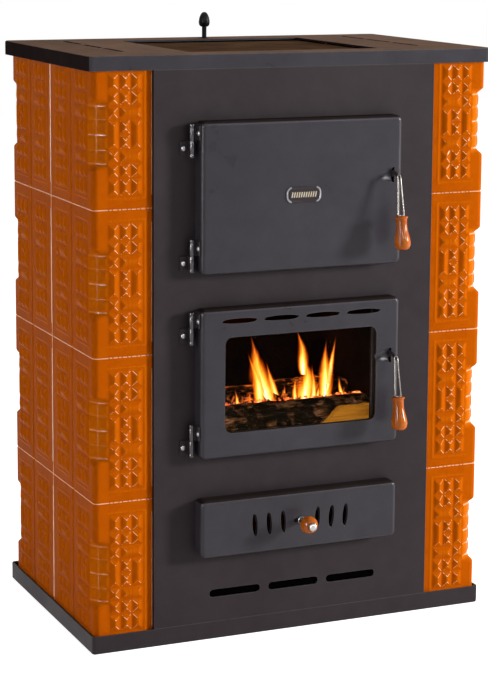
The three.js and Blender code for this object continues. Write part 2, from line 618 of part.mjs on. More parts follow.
function makeFlueCollar() {
  const seat = BODY_BACK_Y + GAP;
  const bore = FLUE_R - FLUE_SHEET;
  const tube = revolved([
    [bore, seat], [FLUE_RING_R, seat], [FLUE_RING_R, seat + FLUE_RING_SHEET],
    [FLUE_R, seat + FLUE_RING_SHEET], [FLUE_R, FLUE_END_Y], [bore, FLUE_END_Y], [bore, seat],
  ], ROUND_SIDES);
  const turned = placed(tube, axes([1, 0, 0], [0, 0, -1], [0, 1, 0]));
  addPiece('flue_collar', moved(turned, 0, 0, FLUE_Z), darkSteel);
}

// ---------------------------------------------------------------- corner tiles
// Distances along each leg are measured from the corner where the two faces would meet.
const FIELD_LINES = [0, 1, 2, 3].map((i) => TILE_CORNER_ZONE + i * TILE_COLUMN);
const FAR_FIELD_LINES = FIELD_LINES.map((d) => 2 * TILE_DOUBLE_LINE - d).reverse();
const FIELD_HEIGHT = TILE_FIELD_ROWS.reduce((sum, height) => sum + height, 0);
const ROW_LINES = [0, (TILE_HEIGHT - FIELD_HEIGHT) / 2];
for (const height of TILE_FIELD_ROWS) ROW_LINES.push(ROW_LINES[ROW_LINES.length - 1] + height);
ROW_LINES.push(TILE_HEIGHT);
const LAST_LINE = ROW_LINES.length - 1;
const WAIST_FIRST = 3; // the waist runs between these two row lines
const WAIST_LAST = 7;
const MIDDLE_ROWS = [4, 5]; // rows crossed by the tall hips in the middle
const BAR_ROWS = [3, 6]; // rows with one long flat hip

function tileGeometry() {
  const vertices = [];
  const triangles = [];
  const known = new Map();
  const vertex = (u, v, z) => {
    const key = `${u.toFixed(3)},${v.toFixed(3)},${z.toFixed(3)}`;
    if (!known.has(key)) {
      known.set(key, vertices.length);
      vertices.push([u, v, z]);
    }
    return known.get(key);
  };
  // Points of the face of a leg at distance d from the corner, raised by h.
  const onShort = (d, z, h = 0) => vertex(d, -h, z);
  const onLong = (d, z, h = 0) => vertex(-h, d, z);

  // Loops run anticlockwise when seen with the path from left to right; `turned` flips them.
  const fan = (centre, loop, turned) => loop.forEach((a, i) => {
    const b = loop[(i + 1) % loop.length];
    triangles.push(turned ? [centre, b, a] : [centre, a, b]);
  });
  const polygon = (loop, flat, holes, flatHoles, turned) => {
    const ids = [...loop, ...holes.flat()];
    const faces = THREE.ShapeUtils.triangulateShape(
      flat.map(([a, b]) => new THREE.Vector2(a, b)),
      flatHoles.map((hole) => hole.map(([a, b]) => new THREE.Vector2(a, b))));
    for (const [a, b, c] of faces) {
      triangles.push(turned ? [ids[a], ids[c], ids[b]] : [ids[a], ids[b], ids[c]]);
    }
  };

  // One relief field: three columns, the first nearest to the waist pattern's own side.
  const field = (put, lines, nearFirst, turned) => {
    const near = nearFirst ? 0 : 2;
    const middle = 1;
    for (let row = 1; row <= TILE_FIELD_ROWS.length; row += 1) {
      const z0 = ROW_LINES[row];
      const z1 = ROW_LINES[row + 1];
      for (let column = 0; column < 3; column += 1) {
        const d0 = lines[column];
        const d1 = lines[column + 1];
        const tall = MIDDLE_ROWS.includes(row) && column !== middle;
        const long = BAR_ROWS.includes(row) && column !== near;
        const dm = (d0 + d1) / 2;
        const zm = (z0 + z1) / 2;
        const loop = [put(d0, z0)];
        if (tall && row === MIDDLE_ROWS[1]) loop.push(put(dm, z0, TILE_RELIEF));
        loop.push(put(d1, z0));
        const joinsRight = long && lines.length > column + 2 && column + 1 !== near;
        if (joinsRight) loop.push(put(d1, zm, TILE_RELIEF));
        loop.push(put(d1, z1));
        if (tall && row === MIDDLE_ROWS[0]) loop.push(put(dm, z1, TILE_RELIEF));
        loop.push(put(d0, z1));
        const joinsLeft = long && column > 0 && column - 1 !== near;
        if (joinsLeft) loop.push(put(d0, zm, TILE_RELIEF));
        fan(put(dm, zm, TILE_RELIEF), loop, turned);
      }
    }
  };

  // The plain part round a field, open towards the corner of the tile.
  const plainRound = (put, lines, end, turned) => {
    const first = lines[0];
    const last = lines[lines.length - 1];
    const flat = [[first, 0], [end, 0], [end, TILE_HEIGHT], [first, TILE_HEIGHT]];
    for (const d of lines) flat.push([d, ROW_LINES[LAST_LINE - 1]]);
    for (let line = LAST_LINE - 2; line > 1; line -= 1) flat.push([last, ROW_LINES[line]]);
    for (const d of [...lines].reverse()) flat.push([d, ROW_LINES[1]]);
    polygon(flat.map(([d, z]) => put(d, z)), flat, [], [], turned);
  };

  // Short leg and the near panel of the long leg.
  plainRound(onShort, FIELD_LINES, TILE_SHORT_LEG, false);
  field(onShort, FIELD_LINES, true, false);
  const grooveNear = TILE_DOUBLE_LINE - TILE_GROOVE_HALF;
  const grooveFar = TILE_DOUBLE_LINE + TILE_GROOVE_HALF;
  plainRound(onLong, FIELD_LINES, grooveNear, true);
  field(onLong, FIELD_LINES, true, true);

  // Groove between the two panels of the long leg.
  const grooveLoop = (d0, h0, d1, h1) => {
    const loop = [
      onLong(d0, 0, h0), onLong(d1, 0, h1), onLong(d1, TILE_HEIGHT, h1), onLong(d0, TILE_HEIGHT, h0),
    ];
    triangles.push([loop[0], loop[2], loop[1]], [loop[0], loop[3], loop[2]]);
  };
  grooveLoop(grooveNear, 0, TILE_DOUBLE_LINE, -TILE_GROOVE_DEPTH);
  grooveLoop(TILE_DOUBLE_LINE, -TILE_GROOVE_DEPTH, grooveFar, 0);

  // Far panel of the long leg, mirrored about the groove.
  const frame = [[grooveFar, 0], [TILE_LONG_LEG, 0], [TILE_LONG_LEG, TILE_HEIGHT], [grooveFar, TILE_HEIGHT]];
  const rim = [];
  for (const d of FAR_FIELD_LINES) rim.push([d, ROW_LINES[1]]);
  for (let line = 2; line < LAST_LINE - 1; line += 1) rim.push([FAR_FIELD_LINES[3], ROW_LINES[line]]);
  for (const d of [...FAR_FIELD_LINES].reverse()) rim.push([d, ROW_LINES[LAST_LINE - 1]]);
  for (let line = LAST_LINE - 2; line > 1; line -= 1) rim.push([FAR_FIELD_LINES[0], ROW_LINES[line]]);
  const holeWay = [...rim].reverse();
  polygon(frame.map(([d, z]) => onLong(d, z)), frame,
    [holeWay.map(([d, z]) => onLong(d, z))], [holeWay], true);
  field(onLong, FAR_FIELD_LINES, false, true);

  // The corner: rounded at both ends, drawn in at the waist.
  const corner = (line, step) => {
    const z = ROW_LINES[line];
    const inWaist = line >= WAIST_FIRST && line <= WAIST_LAST;
    const shoulder = inWaist ? (TILE_CORNER_ZONE + TILE_WAIST_IN) / 2 : TILE_CORNER_R;
    const shoulderIn = inWaist ? TILE_WAIST_IN / 2 : 0;
    const edge = inWaist ? TILE_WAIST_IN : TILE_CORNER_R * (1 - Math.SQRT1_2);
    const plan = [
      [TILE_CORNER_ZONE, 0], [shoulder, shoulderIn], [edge, edge],
      [shoulderIn, shoulder], [0, TILE_CORNER_ZONE],
    ];
    return vertex(...plan[step], z);
  };
  for (let line = 0; line < LAST_LINE; line += 1) {
    const waistRow = line >= WAIST_FIRST && line < WAIST_LAST;
    if (!waistRow) {
      for (let step = 0; step < 4; step += 1) {
        const [a, b] = [corner(line, step), corner(line, step + 1)];
        const [c, d] = [corner(line + 1, step + 1), corner(line + 1, step)];
        triangles.push([a, c, b], [a, d, c]);
      }
    }
    for (const first of waistRow ? [0, 2] : []) {
      const loop = [corner(line, first)];
      if (line === WAIST_FIRST) loop.push(corner(line, first + 1));
      loop.push(corner(line, first + 2), corner(line + 1, first + 2));
      if (line + 1 === WAIST_LAST) loop.push(corner(line + 1, first + 1));
      loop.push(corner(line + 1, first));
      const across = (TILE_CORNER_ZONE + TILE_WAIST_IN) / 2 - TILE_WAIST_RELIEF * TILE_WAIST_OUT[0];
      const inward = TILE_WAIST_IN / 2 - TILE_WAIST_RELIEF * TILE_WAIST_OUT[1];
      const zm = (ROW_LINES[line] + ROW_LINES[line + 1]) / 2;
      const apex = first === 0 ? vertex(across, inward, zm) : vertex(inward, across, zm);
      fan(apex, loop, true);
    }
  }

  // Back of the tile, its two ends, and the L-shaped top and bottom edges.
  const t = TILE_THICKNESS;
  const backPlan = [[TILE_SHORT_LEG, t], [t, t], [t, TILE_LONG_LEG]];
  for (let i = 0; i < 2; i += 1) {
    const [a, b] = [backPlan[i], backPlan[i + 1]];
    const quad = [vertex(...a, 0), vertex(...b, 0), vertex(...b, TILE_HEIGHT), vertex(...a, TILE_HEIGHT)];
    triangles.push([quad[0], quad[1], quad[2]], [quad[0], quad[2], quad[3]]);
  }
  const endQuad = (outer, inner, turned) => {
    const quad = [
      vertex(...outer, 0), vertex(...inner, 0), vertex(...inner, TILE_HEIGHT), vertex(...outer, TILE_HEIGHT),
    ];
    const faces = [[quad[0], quad[1], quad[2]], [quad[0], quad[2], quad[3]]];
    for (const [a, b, c] of faces) triangles.push(turned ? [a, c, b] : [a, b, c]);
  };
  endQuad([TILE_SHORT_LEG, 0], backPlan[0], false);
  endQuad([0, TILE_LONG_LEG], backPlan[2], true);
  for (const line of [0, LAST_LINE]) {
    const z = ROW_LINES[line];
    const plan = [[TILE_SHORT_LEG, 0]];
    const rimIds = [onShort(TILE_SHORT_LEG, z)];
    for (let step = 0; step <= 4; step += 1) {
      rimIds.push(corner(line, step));
      plan.push(vertices[rimIds[rimIds.length - 1]].slice(0, 2));
    }
    const longPoints = [
      [grooveNear, 0], [TILE_DOUBLE_LINE, -TILE_GROOVE_DEPTH], [grooveFar, 0], [TILE_LONG_LEG, 0],
    ];
    for (const [d, h] of longPoints) {
      rimIds.push(onLong(d, z, h));
      plan.push([-h, d]);
    }
    for (const point of [...backPlan].reverse()) {
      rimIds.push(vertex(...point, z));
      plan.push(point);
    }
    polygon(rimIds, plan, [], [], line === 0);
  }
  return { vertices, triangles };
}

const TILE_MODEL = tileGeometry();

function makeTile(name, sideX, sideY, bottom) {
  const originX = sideX * TILE_FACE_X;
  const originY = sideY < 0 ? TILE_FRONT_Y : TILE_BACK_Y;
  const position = TILE_MODEL.vertices.flatMap(([u, v, z]) => [
    originX - sideX * u, originY - sideY * v, bottom + z,
  ]);
  const mirrored = sideX * sideY < 0;
  const index = TILE_MODEL.triangles.flatMap(([a, b, c]) => (mirrored ? [a, c, b] : [a, b, c]));
  const geometry = new THREE.BufferGeometry();
  geometry.setAttribute('position', new THREE.Float32BufferAttribute(position, 3));
  geometry.setIndex(index);
  addPiece(name, toSolid(geometry), glaze);
}

function makeTiles() {
  for (const [sideX, xName] of [[-1, 'left'], [1, 'right']]) {
    for (const [sideY, yName] of [[-1, 'front'], [1, 'back']]) {
      for (let row = 0; row < TILE_ROWS; row += 1) {
        makeTile(`tile_${yName}_${xName}_${row + 1}`, sideX, sideY, TILE_FIRST_Z + row * TILE_PITCH);
      }
    }
  }
}

// ---------------------------------------------------------------- firebox
function makeFireboxBody() {
  const outer = BODY_WIDTH / 2;
  const inner = BODY_INNER_X;
  const wall = outline([
    [-outer, BODY_FRONT_Y], [-inner, BODY_FRONT_Y], [-inner, BODY_INNER_BACK], [inner, BODY_INNER_BACK],
    [inner, BODY_FRONT_Y], [outer, BODY_FRONT_Y], [outer, BODY_BACK_Y], [-outer, BODY_BACK_Y],
  ]);
  const shell = alongZ(wall, INSIDE_TRAY_Z, BODY_SHELL_TOP);
  const flueHole = alongY(outline(ringPoints(FLUE_R - FLUE_SHEET, ROUND_SIDES, 0, FLUE_Z)),
    BODY_INNER_BACK - CUT, BODY_BACK_Y + CUT);
  const shelfLevels = [ASH_SHELF_Z - ASH_SHELF_SHEET - GAP, HEARTH_Z - HEARTH_THICKNESS - GAP];
  const ledges = [];
  for (const [x0, x1] of [[-inner - WELD, BODY_LEDGE - inner], [inner - BODY_LEDGE, inner + WELD]]) {
    for (const top of shelfLevels) {
      ledges.push(box(x0, x1, BODY_FRONT_Y, BODY_INNER_BACK, top - BODY_LEDGE_HEIGHT, top));
    }
    ledges.push(alongX(baffleProfile(-GAP, -GAP - BODY_LEDGE_HEIGHT), x0, x1));
  }
  addPiece('firebox_body', cutBy(joined([shell, ...ledges]), [flueHole]), darkSteel);
}

// Sloping band between two heights above the underside of the baffle, drawn in YZ.
function baffleProfile(low, high) {
  const back = BODY_INNER_BACK - GAP;
  const [bottom, top] = [Math.min(low, high), Math.max(low, high)];
  return outline([
    [BAFFLE_FRONT_Y, BAFFLE_FRONT_Z + bottom], [back, BAFFLE_BACK_Z + bottom],
    [back, BAFFLE_BACK_Z + top], [BAFFLE_FRONT_Y, BAFFLE_FRONT_Z + top],
  ]);
}

function makeSmokeBaffle() {
  const half = BODY_INNER_X - GAP;
  addPiece('smoke_baffle', alongX(baffleProfile(0, BAFFLE_THICKNESS), -half, half), fireclay);
}

function makeFireboxFront() {
  const half = BODY_WIDTH / 2;
  const back = FACE_PLATE_Y + FACE_PLATE_SHEET;
  const plate = box(-half, half, FACE_PLATE_Y, back, FACE_PLATE_BOTTOM, BODY_SHELL_TOP);
  const feet = [[-half, FACE_PLATE_FOOT - half], [half - FACE_PLATE_FOOT, half]].map(([x0, x1]) => box(
    x0, x1, FACE_PLATE_Y, back, INSIDE_TRAY_Z, FACE_PLATE_BOTTOM + WELD));
  const cutters = [doorOpening(UPPER_DOOR_Z), doorOpening(LOWER_DOOR_Z), drawerOpening()];
  addPiece('firebox_front', cutBy(joined([plate, ...feet]), cutters), darkSteel);
}

function makeFireboxTop() {
  const half = BODY_WIDTH / 2;
  const plate = box(-half, half, FACE_PLATE_Y, BODY_BACK_Y, BODY_TOP_BOTTOM, BODY_TOP_Z);
  const fireHole = alongZ(outline(roundedPoints(RECESS_WIDTH - 2 * FIRE_HOLE_INSET,
    RECESS_DEPTH - 2 * FIRE_HOLE_INSET, FIRE_HOLE_R, 3, 0, RECESS_MIDDLE_Y)),
    BODY_TOP_BOTTOM - CUT, BODY_TOP_Z + CUT);
  const portPoints = roundedPoints(DAMPER_PORT_WIDTH, DAMPER_PORT_DEPTH, DAMPER_PORT_R, 2, 0, DAMPER_Y);
  const port = alongZ(outline(portPoints), BODY_TOP_BOTTOM - CUT, BODY_TOP_Z + CUT);
  addPiece('firebox_top', cutBy(plate, [fireHole, port]), darkSteel);
}

function makeHearth() {
  const half = BODY_INNER_X - GAP;
  const back = BODY_INNER_BACK - GAP;
  const middleY = (BODY_FRONT_Y + back) / 2;
  const slab = box(-half, half, BODY_FRONT_Y + GAP, back, HEARTH_Z - HEARTH_THICKNESS, HEARTH_Z);
  const seatDepth = GRATE_THICKNESS + GAP;
  const rebate = box(-GRATE_WIDTH / 2 - GAP, GRATE_WIDTH / 2 + GAP, middleY - GRATE_DEPTH / 2 - GAP,
    middleY + GRATE_DEPTH / 2 + GAP, HEARTH_Z - seatDepth, HEARTH_Z + CUT);
  const holeX = GRATE_WIDTH / 2 - GRATE_SEAT;
  const holeY = GRATE_DEPTH / 2 - GRATE_SEAT;
  const hole = box(-holeX, holeX, middleY - holeY, middleY + holeY,
    HEARTH_Z - HEARTH_THICKNESS - CUT, HEARTH_Z);
  addPiece('hearth_plate', cutBy(slab, [rebate, hole]), fireclay);

  const pitch = (GRATE_WIDTH - 2 * GRATE_RIM) / GRATE_SLOTS;
  const bars = box(-GRATE_WIDTH / 2, GRATE_WIDTH / 2, middleY - GRATE_DEPTH / 2, middleY + GRATE_DEPTH / 2,
    HEARTH_Z - GRATE_THICKNESS, HEARTH_Z);
  const slots = Array.from({ length: GRATE_SLOTS }, (_, i) => {
    const x = (i - (GRATE_SLOTS - 1) / 2) * pitch;
    return box(x - GRATE_SLOT_WIDTH / 2, x + GRATE_SLOT_WIDTH / 2, middleY - GRATE_DEPTH / 2 + GRATE_RIM,
      middleY + GRATE_DEPTH / 2 - GRATE_RIM, HEARTH_Z - GRATE_THICKNESS - CUT, HEARTH_Z + CUT);
  });
  addPiece('grate', cutBy(bars, slots), castIron);

  const shelf = box(-half, half, BODY_FRONT_Y + GAP, back, ASH_SHELF_Z - ASH_SHELF_SHEET, ASH_SHELF_Z);
  addPiece('ash_shelf', shelf, darkSteel);

  const brickBottom = HEARTH_Z + GAP;
  const brickTop = brickBottom + BRICK_HEIGHT;
  const rearFront = back - BRICK_THICKNESS;
  const brick = (x0, x1, y0, y1) => box(x0, x1, y0, y1, brickBottom, brickTop);
  const sideFront = BODY_FRONT_Y + GAP;
  const sideBack = rearFront - GAP;
  addPiece('left_firebrick', brick(-half, BRICK_THICKNESS - half, sideFront, sideBack), fireclay);
  addPiece('right_firebrick', brick(half - BRICK_THICKNESS, half, sideFront, sideBack), fireclay);
  addPiece('rear_firebrick', brick(-half, half, rearFront, back), fireclay);
}

// ---------------------------------------------------------------- doors
function ropeRing(z) {
  const section = ringPoints(ROPE_DIAMETER / 2, 6);
  const points = roundedPoints(ROPE_WIDTH, ROPE_HEIGHT, ROPE_CORNER_R, 3);
  const rings = points.map(([x, dz], i) => {
    const before = points[(i + points.length - 1) % points.length];
    const after = points[(i + 1) % points.length];
    const along = new THREE.Vector2(after[0] - before[0], after[1] - before[1]).normalize();
    return section.map(([out, deep]) => [
      x + along.y * out, ROPE_BACK_Y - ROPE_DIAMETER * ROPE_FLAT + deep, z + dz - along.x * out,
    ]);
  });
  return closedTube(rings);
}

// Rings joined into an endless tube.
function closedTube(rings) {
  const count = rings[0].length;
  const index = [];
  rings.forEach((_, ring) => {
    const next = (ring + 1) % rings.length;
    for (let i = 0; i < count; i += 1) {
      const j = (i + 1) % count;
      index.push(ring * count + i, ring * count + j, next * count + j);
      index.push(ring * count + i, next * count + j, next * count + i);
    }
  });
  const geometry = new THREE.BufferGeometry();
  geometry.setAttribute('position', new THREE.Float32BufferAttribute(rings.flat(2), 3));
  geometry.setIndex(index);
  return toSolid(geometry);
}

// Ears inside a door that hold the pivot of its latch.
function leverEars(doorZ) {
  const pivotZ = leverPivotZ(doorZ);
  const inside = LEVER_THICKNESS / 2 + LEVER_EAR_GAP;
  return [SLIT_X - inside - LEVER_EAR_SHEET, SLIT_X + inside].map((x0) => {
    const x1 = x0 + LEVER_EAR_SHEET;
    const ear = box(x0, x1, DOOR_INNER_Y - WELD, LEVER_PIVOT_Y + LEVER_PIVOT_R + LEVER_EAR_MARGIN,
      pivotZ - LEVER_EAR_HALF, pivotZ + LEVER_EAR_HALF);
    const ring = ringPoints(LEVER_PIVOT_R + LEVER_PIVOT_PLAY, 8, LEVER_PIVOT_Y, pivotZ);
    return ear.subtract(alongX(outline(ring), x0 - CUT, x1 + CUT));
  });
}

function doorShell(z) {
  const shell = frontCup(DOOR_WIDTH, DOOR_HEIGHT, DOOR_STANDOFF - DOOR_BACK_GAP, DOOR_FRONT_Y, z);
  const slitZ = z + SLIT_RISE;
  const scoop = (depth, grow) => {
    const right = SLIT_X - SLIT_WIDTH / 2;
    const plan = outline([
      [right - SCOOP_LENGTH - grow, DOOR_FRONT_Y - CUT], [right, DOOR_FRONT_Y - CUT],
      [right, DOOR_FRONT_Y + depth], [right - SCOOP_LENGTH - grow, DOOR_FRONT_Y + depth - SCOOP_DEPTH],
    ]);
    return alongZ(plan, slitZ - SCOOP_HEIGHT / 2 - grow, slitZ + SCOOP_HEIGHT / 2 + grow);
  };
  const behind = scoop(SCOOP_DEPTH + SCOOP_FLOOR, SCOOP_WALL).intersect(
    box(0, DOOR_WIDTH, DOOR_INNER_Y - WELD, DOOR_BACK_Y, z - DOOR_HEIGHT, z + DOOR_HEIGHT));
  const slit = box(SLIT_X - SLIT_WIDTH / 2, SLIT_X + SLIT_WIDTH / 2, DOOR_FRONT_Y - CUT, DOOR_INNER_Y + CUT,
    slitZ - SLIT_HEIGHT / 2, slitZ + SLIT_HEIGHT / 2);
  return cutBy(joined([shell, behind, ...leverEars(z)]), [scoop(SCOOP_DEPTH, 0), slit]);
}

// Frame of the rope seal: a ring that stands on the sheet behind the door's face.
function ropeSeat(z) {
  const seat = outline(roundedPoints(ROPE_WIDTH + ROPE_SEAT_WIDTH, ROPE_HEIGHT + ROPE_SEAT_WIDTH,
    ROPE_CORNER_R + ROPE_SEAT_WIDTH / 2, 2, 0, z));
  seat.holes.push(new THREE.Path(roundedPoints(ROPE_WIDTH - ROPE_SEAT_WIDTH, ROPE_HEIGHT - ROPE_SEAT_WIDTH,
    ROPE_CORNER_R - ROPE_SEAT_WIDTH / 2, 2, 0, z).map(([a, b]) => new THREE.Vector2(a, b))));
  return alongY(seat, RETAINER_FRONT_Y + RETAINER_SHEET - WELD, ROPE_SEAT_BACK_Y);
}

const linerSheet = (z) => alongY(outline(roundedPoints(ROPE_WIDTH + ROPE_SEAT_WIDTH,
  ROPE_HEIGHT + ROPE_SEAT_WIDTH, ROPE_CORNER_R + ROPE_SEAT_WIDTH / 2, 2, 0, z)),
RETAINER_FRONT_Y, RETAINER_FRONT_Y + RETAINER_SHEET);

// Bosses that hold the liner off the door's face.
const linerBosses = (z) => [[-1, -1], [-1, 1], [1, -1], [1, 1]].map(([a, b]) => {
  const across = a * (ROPE_WIDTH / 2 - LINER_BOSS_INSET);
  const up = z + b * (ROPE_HEIGHT / 2 - LINER_BOSS_INSET);
  const boss = outline(ringPoints(LINER_BOSS_R, 6, across, up));
  return alongY(boss, DOOR_INNER_Y + GAP, RETAINER_FRONT_Y + WELD);
});

function makeUpperDoor(parent) {
  addPiece('upper_door', doorShell(UPPER_DOOR_Z), blackSteel, parent);
  const liner = joined([linerSheet(UPPER_DOOR_Z), ropeSeat(UPPER_DOOR_Z), ...linerBosses(UPPER_DOOR_Z)]);
  addPiece('upper_door_liner', liner, darkSteel, parent);
  addPiece('upper_door_seal', ropeRing(UPPER_DOOR_Z), ropeYarn, parent);
}

// Slots with a curved back and front edge, like a lens.
function lensShape(length, height, a0, b0) {
  const steps = 4;
  const edge = (sign) => Array.from({ length: steps }, (_, i) => {
    const t = i / steps;
    const a = -length / 2 + length * t;
    const swell = LENS_END + (1 - LENS_END) * Math.sin(Math.PI * t);
    return [a0 + sign * a, b0 - sign * (height / 2) * swell];
  });
  return outline([...edge(1), ...edge(-1)]);
}

function makeLowerDoor(parent) {
  const windowZ = LOWER_DOOR_Z - WINDOW_BELOW_MIDDLE;
  const windowShape = outline(roundedPoints(WINDOW_WIDTH, WINDOW_HEIGHT, WINDOW_R, 4, 0, windowZ));
  const windowCut = alongY(windowShape, DOOR_FRONT_Y - CUT, ROPE_BACK_Y);
  const ventZ = LOWER_DOOR_Z + DOOR_HEIGHT / 2 - DOOR_VENT_DROP;
  const vents = Array.from({ length: DOOR_VENT_COUNT }, (_, i) => {
    const x = (i - (DOOR_VENT_COUNT - 1) / 2) * DOOR_VENT_PITCH;
    const slot = lensShape(DOOR_VENT_LENGTH, DOOR_VENT_HEIGHT, x, ventZ);
    return alongY(slot, DOOR_FRONT_Y - CUT, DOOR_INNER_Y + CUT);
  });
  addPiece('lower_door', cutBy(doorShell(LOWER_DOOR_Z), [windowCut, ...vents]), blackSteel, parent);

  const glassShape = outline(roundedPoints(WINDOW_WIDTH + 2 * GLASS_LAP, WINDOW_HEIGHT + 2 * GLASS_LAP,
    GLASS_CORNER_R, 2, 0, windowZ));
  const pane = alongY(glassShape, GLASS_FRONT_Y, GLASS_FRONT_Y + GLASS_THICKNESS);
  addPiece('door_glass', pane, clearGlass, parent);

  const ventEnd = ROPE_WIDTH / 2 - ROPE_SEAT_WIDTH;
  const innerVents = [[-ventEnd, -INNER_VENT_WEB], [INNER_VENT_WEB, ventEnd]].map(([x0, x1]) => box(
    x0, x1, RETAINER_FRONT_Y - CUT, RETAINER_FRONT_Y + RETAINER_SHEET + CUT,
    ventZ - INNER_VENT_HALF, ventZ + INNER_VENT_HALF));
  const sheet = cutBy(linerSheet(LOWER_DOOR_Z), [windowCut, ...innerVents]);
  const retainer = joined([sheet, ropeSeat(LOWER_DOOR_Z), ...linerBosses(LOWER_DOOR_Z)]);
  addPiece('glass_retainer', retainer, darkSteel, parent);
  addPiece('lower_door_seal', ropeRing(LOWER_DOOR_Z), ropeYarn, parent);
}

// ---------------------------------------------------------------- hinges
const barrelSection = (radius) => ringPoints(radius, 10, -HINGE_X, HINGE_Y);

function hingeSpots(doorZ) {
  const reach = DOOR_HEIGHT / 2 - HINGE_INSET - BARREL_HEIGHT;
  return [['top', doorZ + reach], ['bottom', doorZ - reach - BARREL_HEIGHT]];
}

// Lower knuckle, pin and leaf, which stay on the front panel.
function panelHinge(name, bottom) {
  const knuckle = alongZ(outline(barrelSection(BARREL_R)), bottom, bottom + BARREL_HEIGHT / 2);
  const pin = alongZ(outline(barrelSection(HINGE_PIN_R)), bottom + BARREL_HEIGHT / 2 - 2 * WELD,
    bottom + BARREL_HEIGHT - HINGE_PIN_SHORT);
  const leafBack = FRONT_Y - GAP;
  const leafFront = leafBack - LEAF_SHEET;
  const leafLow = bottom + LEAF_CUT_BACK;
  const leafHigh = bottom + BARREL_HEIGHT / 2 - LEAF_JOINT_ROOM;
  const leaf = box(-HINGE_X - LEAF_OUTWARD, -HINGE_X + LEAF_INWARD, leafFront, leafBack, leafLow, leafHigh);
  const neck = box(-HINGE_X - NECK_HALF, -HINGE_X + NECK_HALF,
    HINGE_Y + BARREL_R - 2 * WELD, leafFront + WELD, leafLow, leafHigh);
  const bolt = placed(domeHead(), axes([1, 0, 0], [0, 0, 1], [0, -1, 0]));
  const bolted = moved(bolt, -HINGE_X - HINGE_BOLT_OUTWARD, leafFront + HINGE_BOLT_SINK,
    (leafLow + leafHigh) / 2);
  addPiece(name, joined([knuckle, pin, leaf, neck, bolted]), blackSteel);
}

// Round head of a bolt, with a shoulder between its rim and its crown.
function domeHead() {
  const foot = -HINGE_BOLT_SINK / 2;
  const shoulder = [HINGE_BOLT_R * 0.8, HINGE_BOLT_HEAD * 0.65];
  return revolved([[0, foot], [HINGE_BOLT_R, foot], shoulder, [0, HINGE_BOLT_HEAD]], 6);
}

// Upper knuckle and leaf, which turn with the door.
function doorHinge(name, bottom, parent) {
  const low = bottom + BARREL_HEIGHT / 2 + GAP;
  const high = bottom + BARREL_HEIGHT;
  const knuckle = alongZ(outline(barrelSection(BARREL_R)), low, high);
  const bore = alongZ(outline(barrelSection(HINGE_BORE_R)), low - CUT, high - HINGE_CAP);
  const leafX = -DOOR_WIDTH / 2 - DOOR_SWING_CLEARANCE;
  const outerX = leafX - LEAF_SHEET;
  const leafLow = low + LEAF_JOINT_ROOM;
  const leafHigh = high - LEAF_CUT_BACK;
  const leaf = box(outerX, leafX, DOOR_FRONT_Y + DOOR_LEAF_FRONT, DOOR_BACK_Y - DOOR_LEAF_BACK,
    leafLow, leafHigh);
  const neck = box(-HINGE_X + BARREL_R - 2 * WELD, outerX + WELD, HINGE_Y - NECK_HALF, HINGE_Y + NECK_HALF,
    leafLow, leafHigh);
  const bolt = placed(domeHead(), axes([0, 1, 0], [0, 0, -1], [-1, 0, 0]));
  const bolted = moved(bolt, outerX + HINGE_BOLT_SINK, HINGE_Y - BARREL_R - HINGE_BOLT_FORWARD,
    (leafLow + leafHigh) / 2);
  addPiece(name, joined([knuckle.subtract(bore), leaf, neck, bolted]), blackSteel, parent);
}

// ---------------------------------------------------------------- latches
// Outline of a grip from its rim down, as radius and drop below the rim.
const GRIP_PROFILE = [
  [11.3, 0], [11.3, 3.2], [9.9, 5.5], [10.6, 15], [13.7, 35], [13.4, 43], [8.9, 57], [7.6, 58],
];

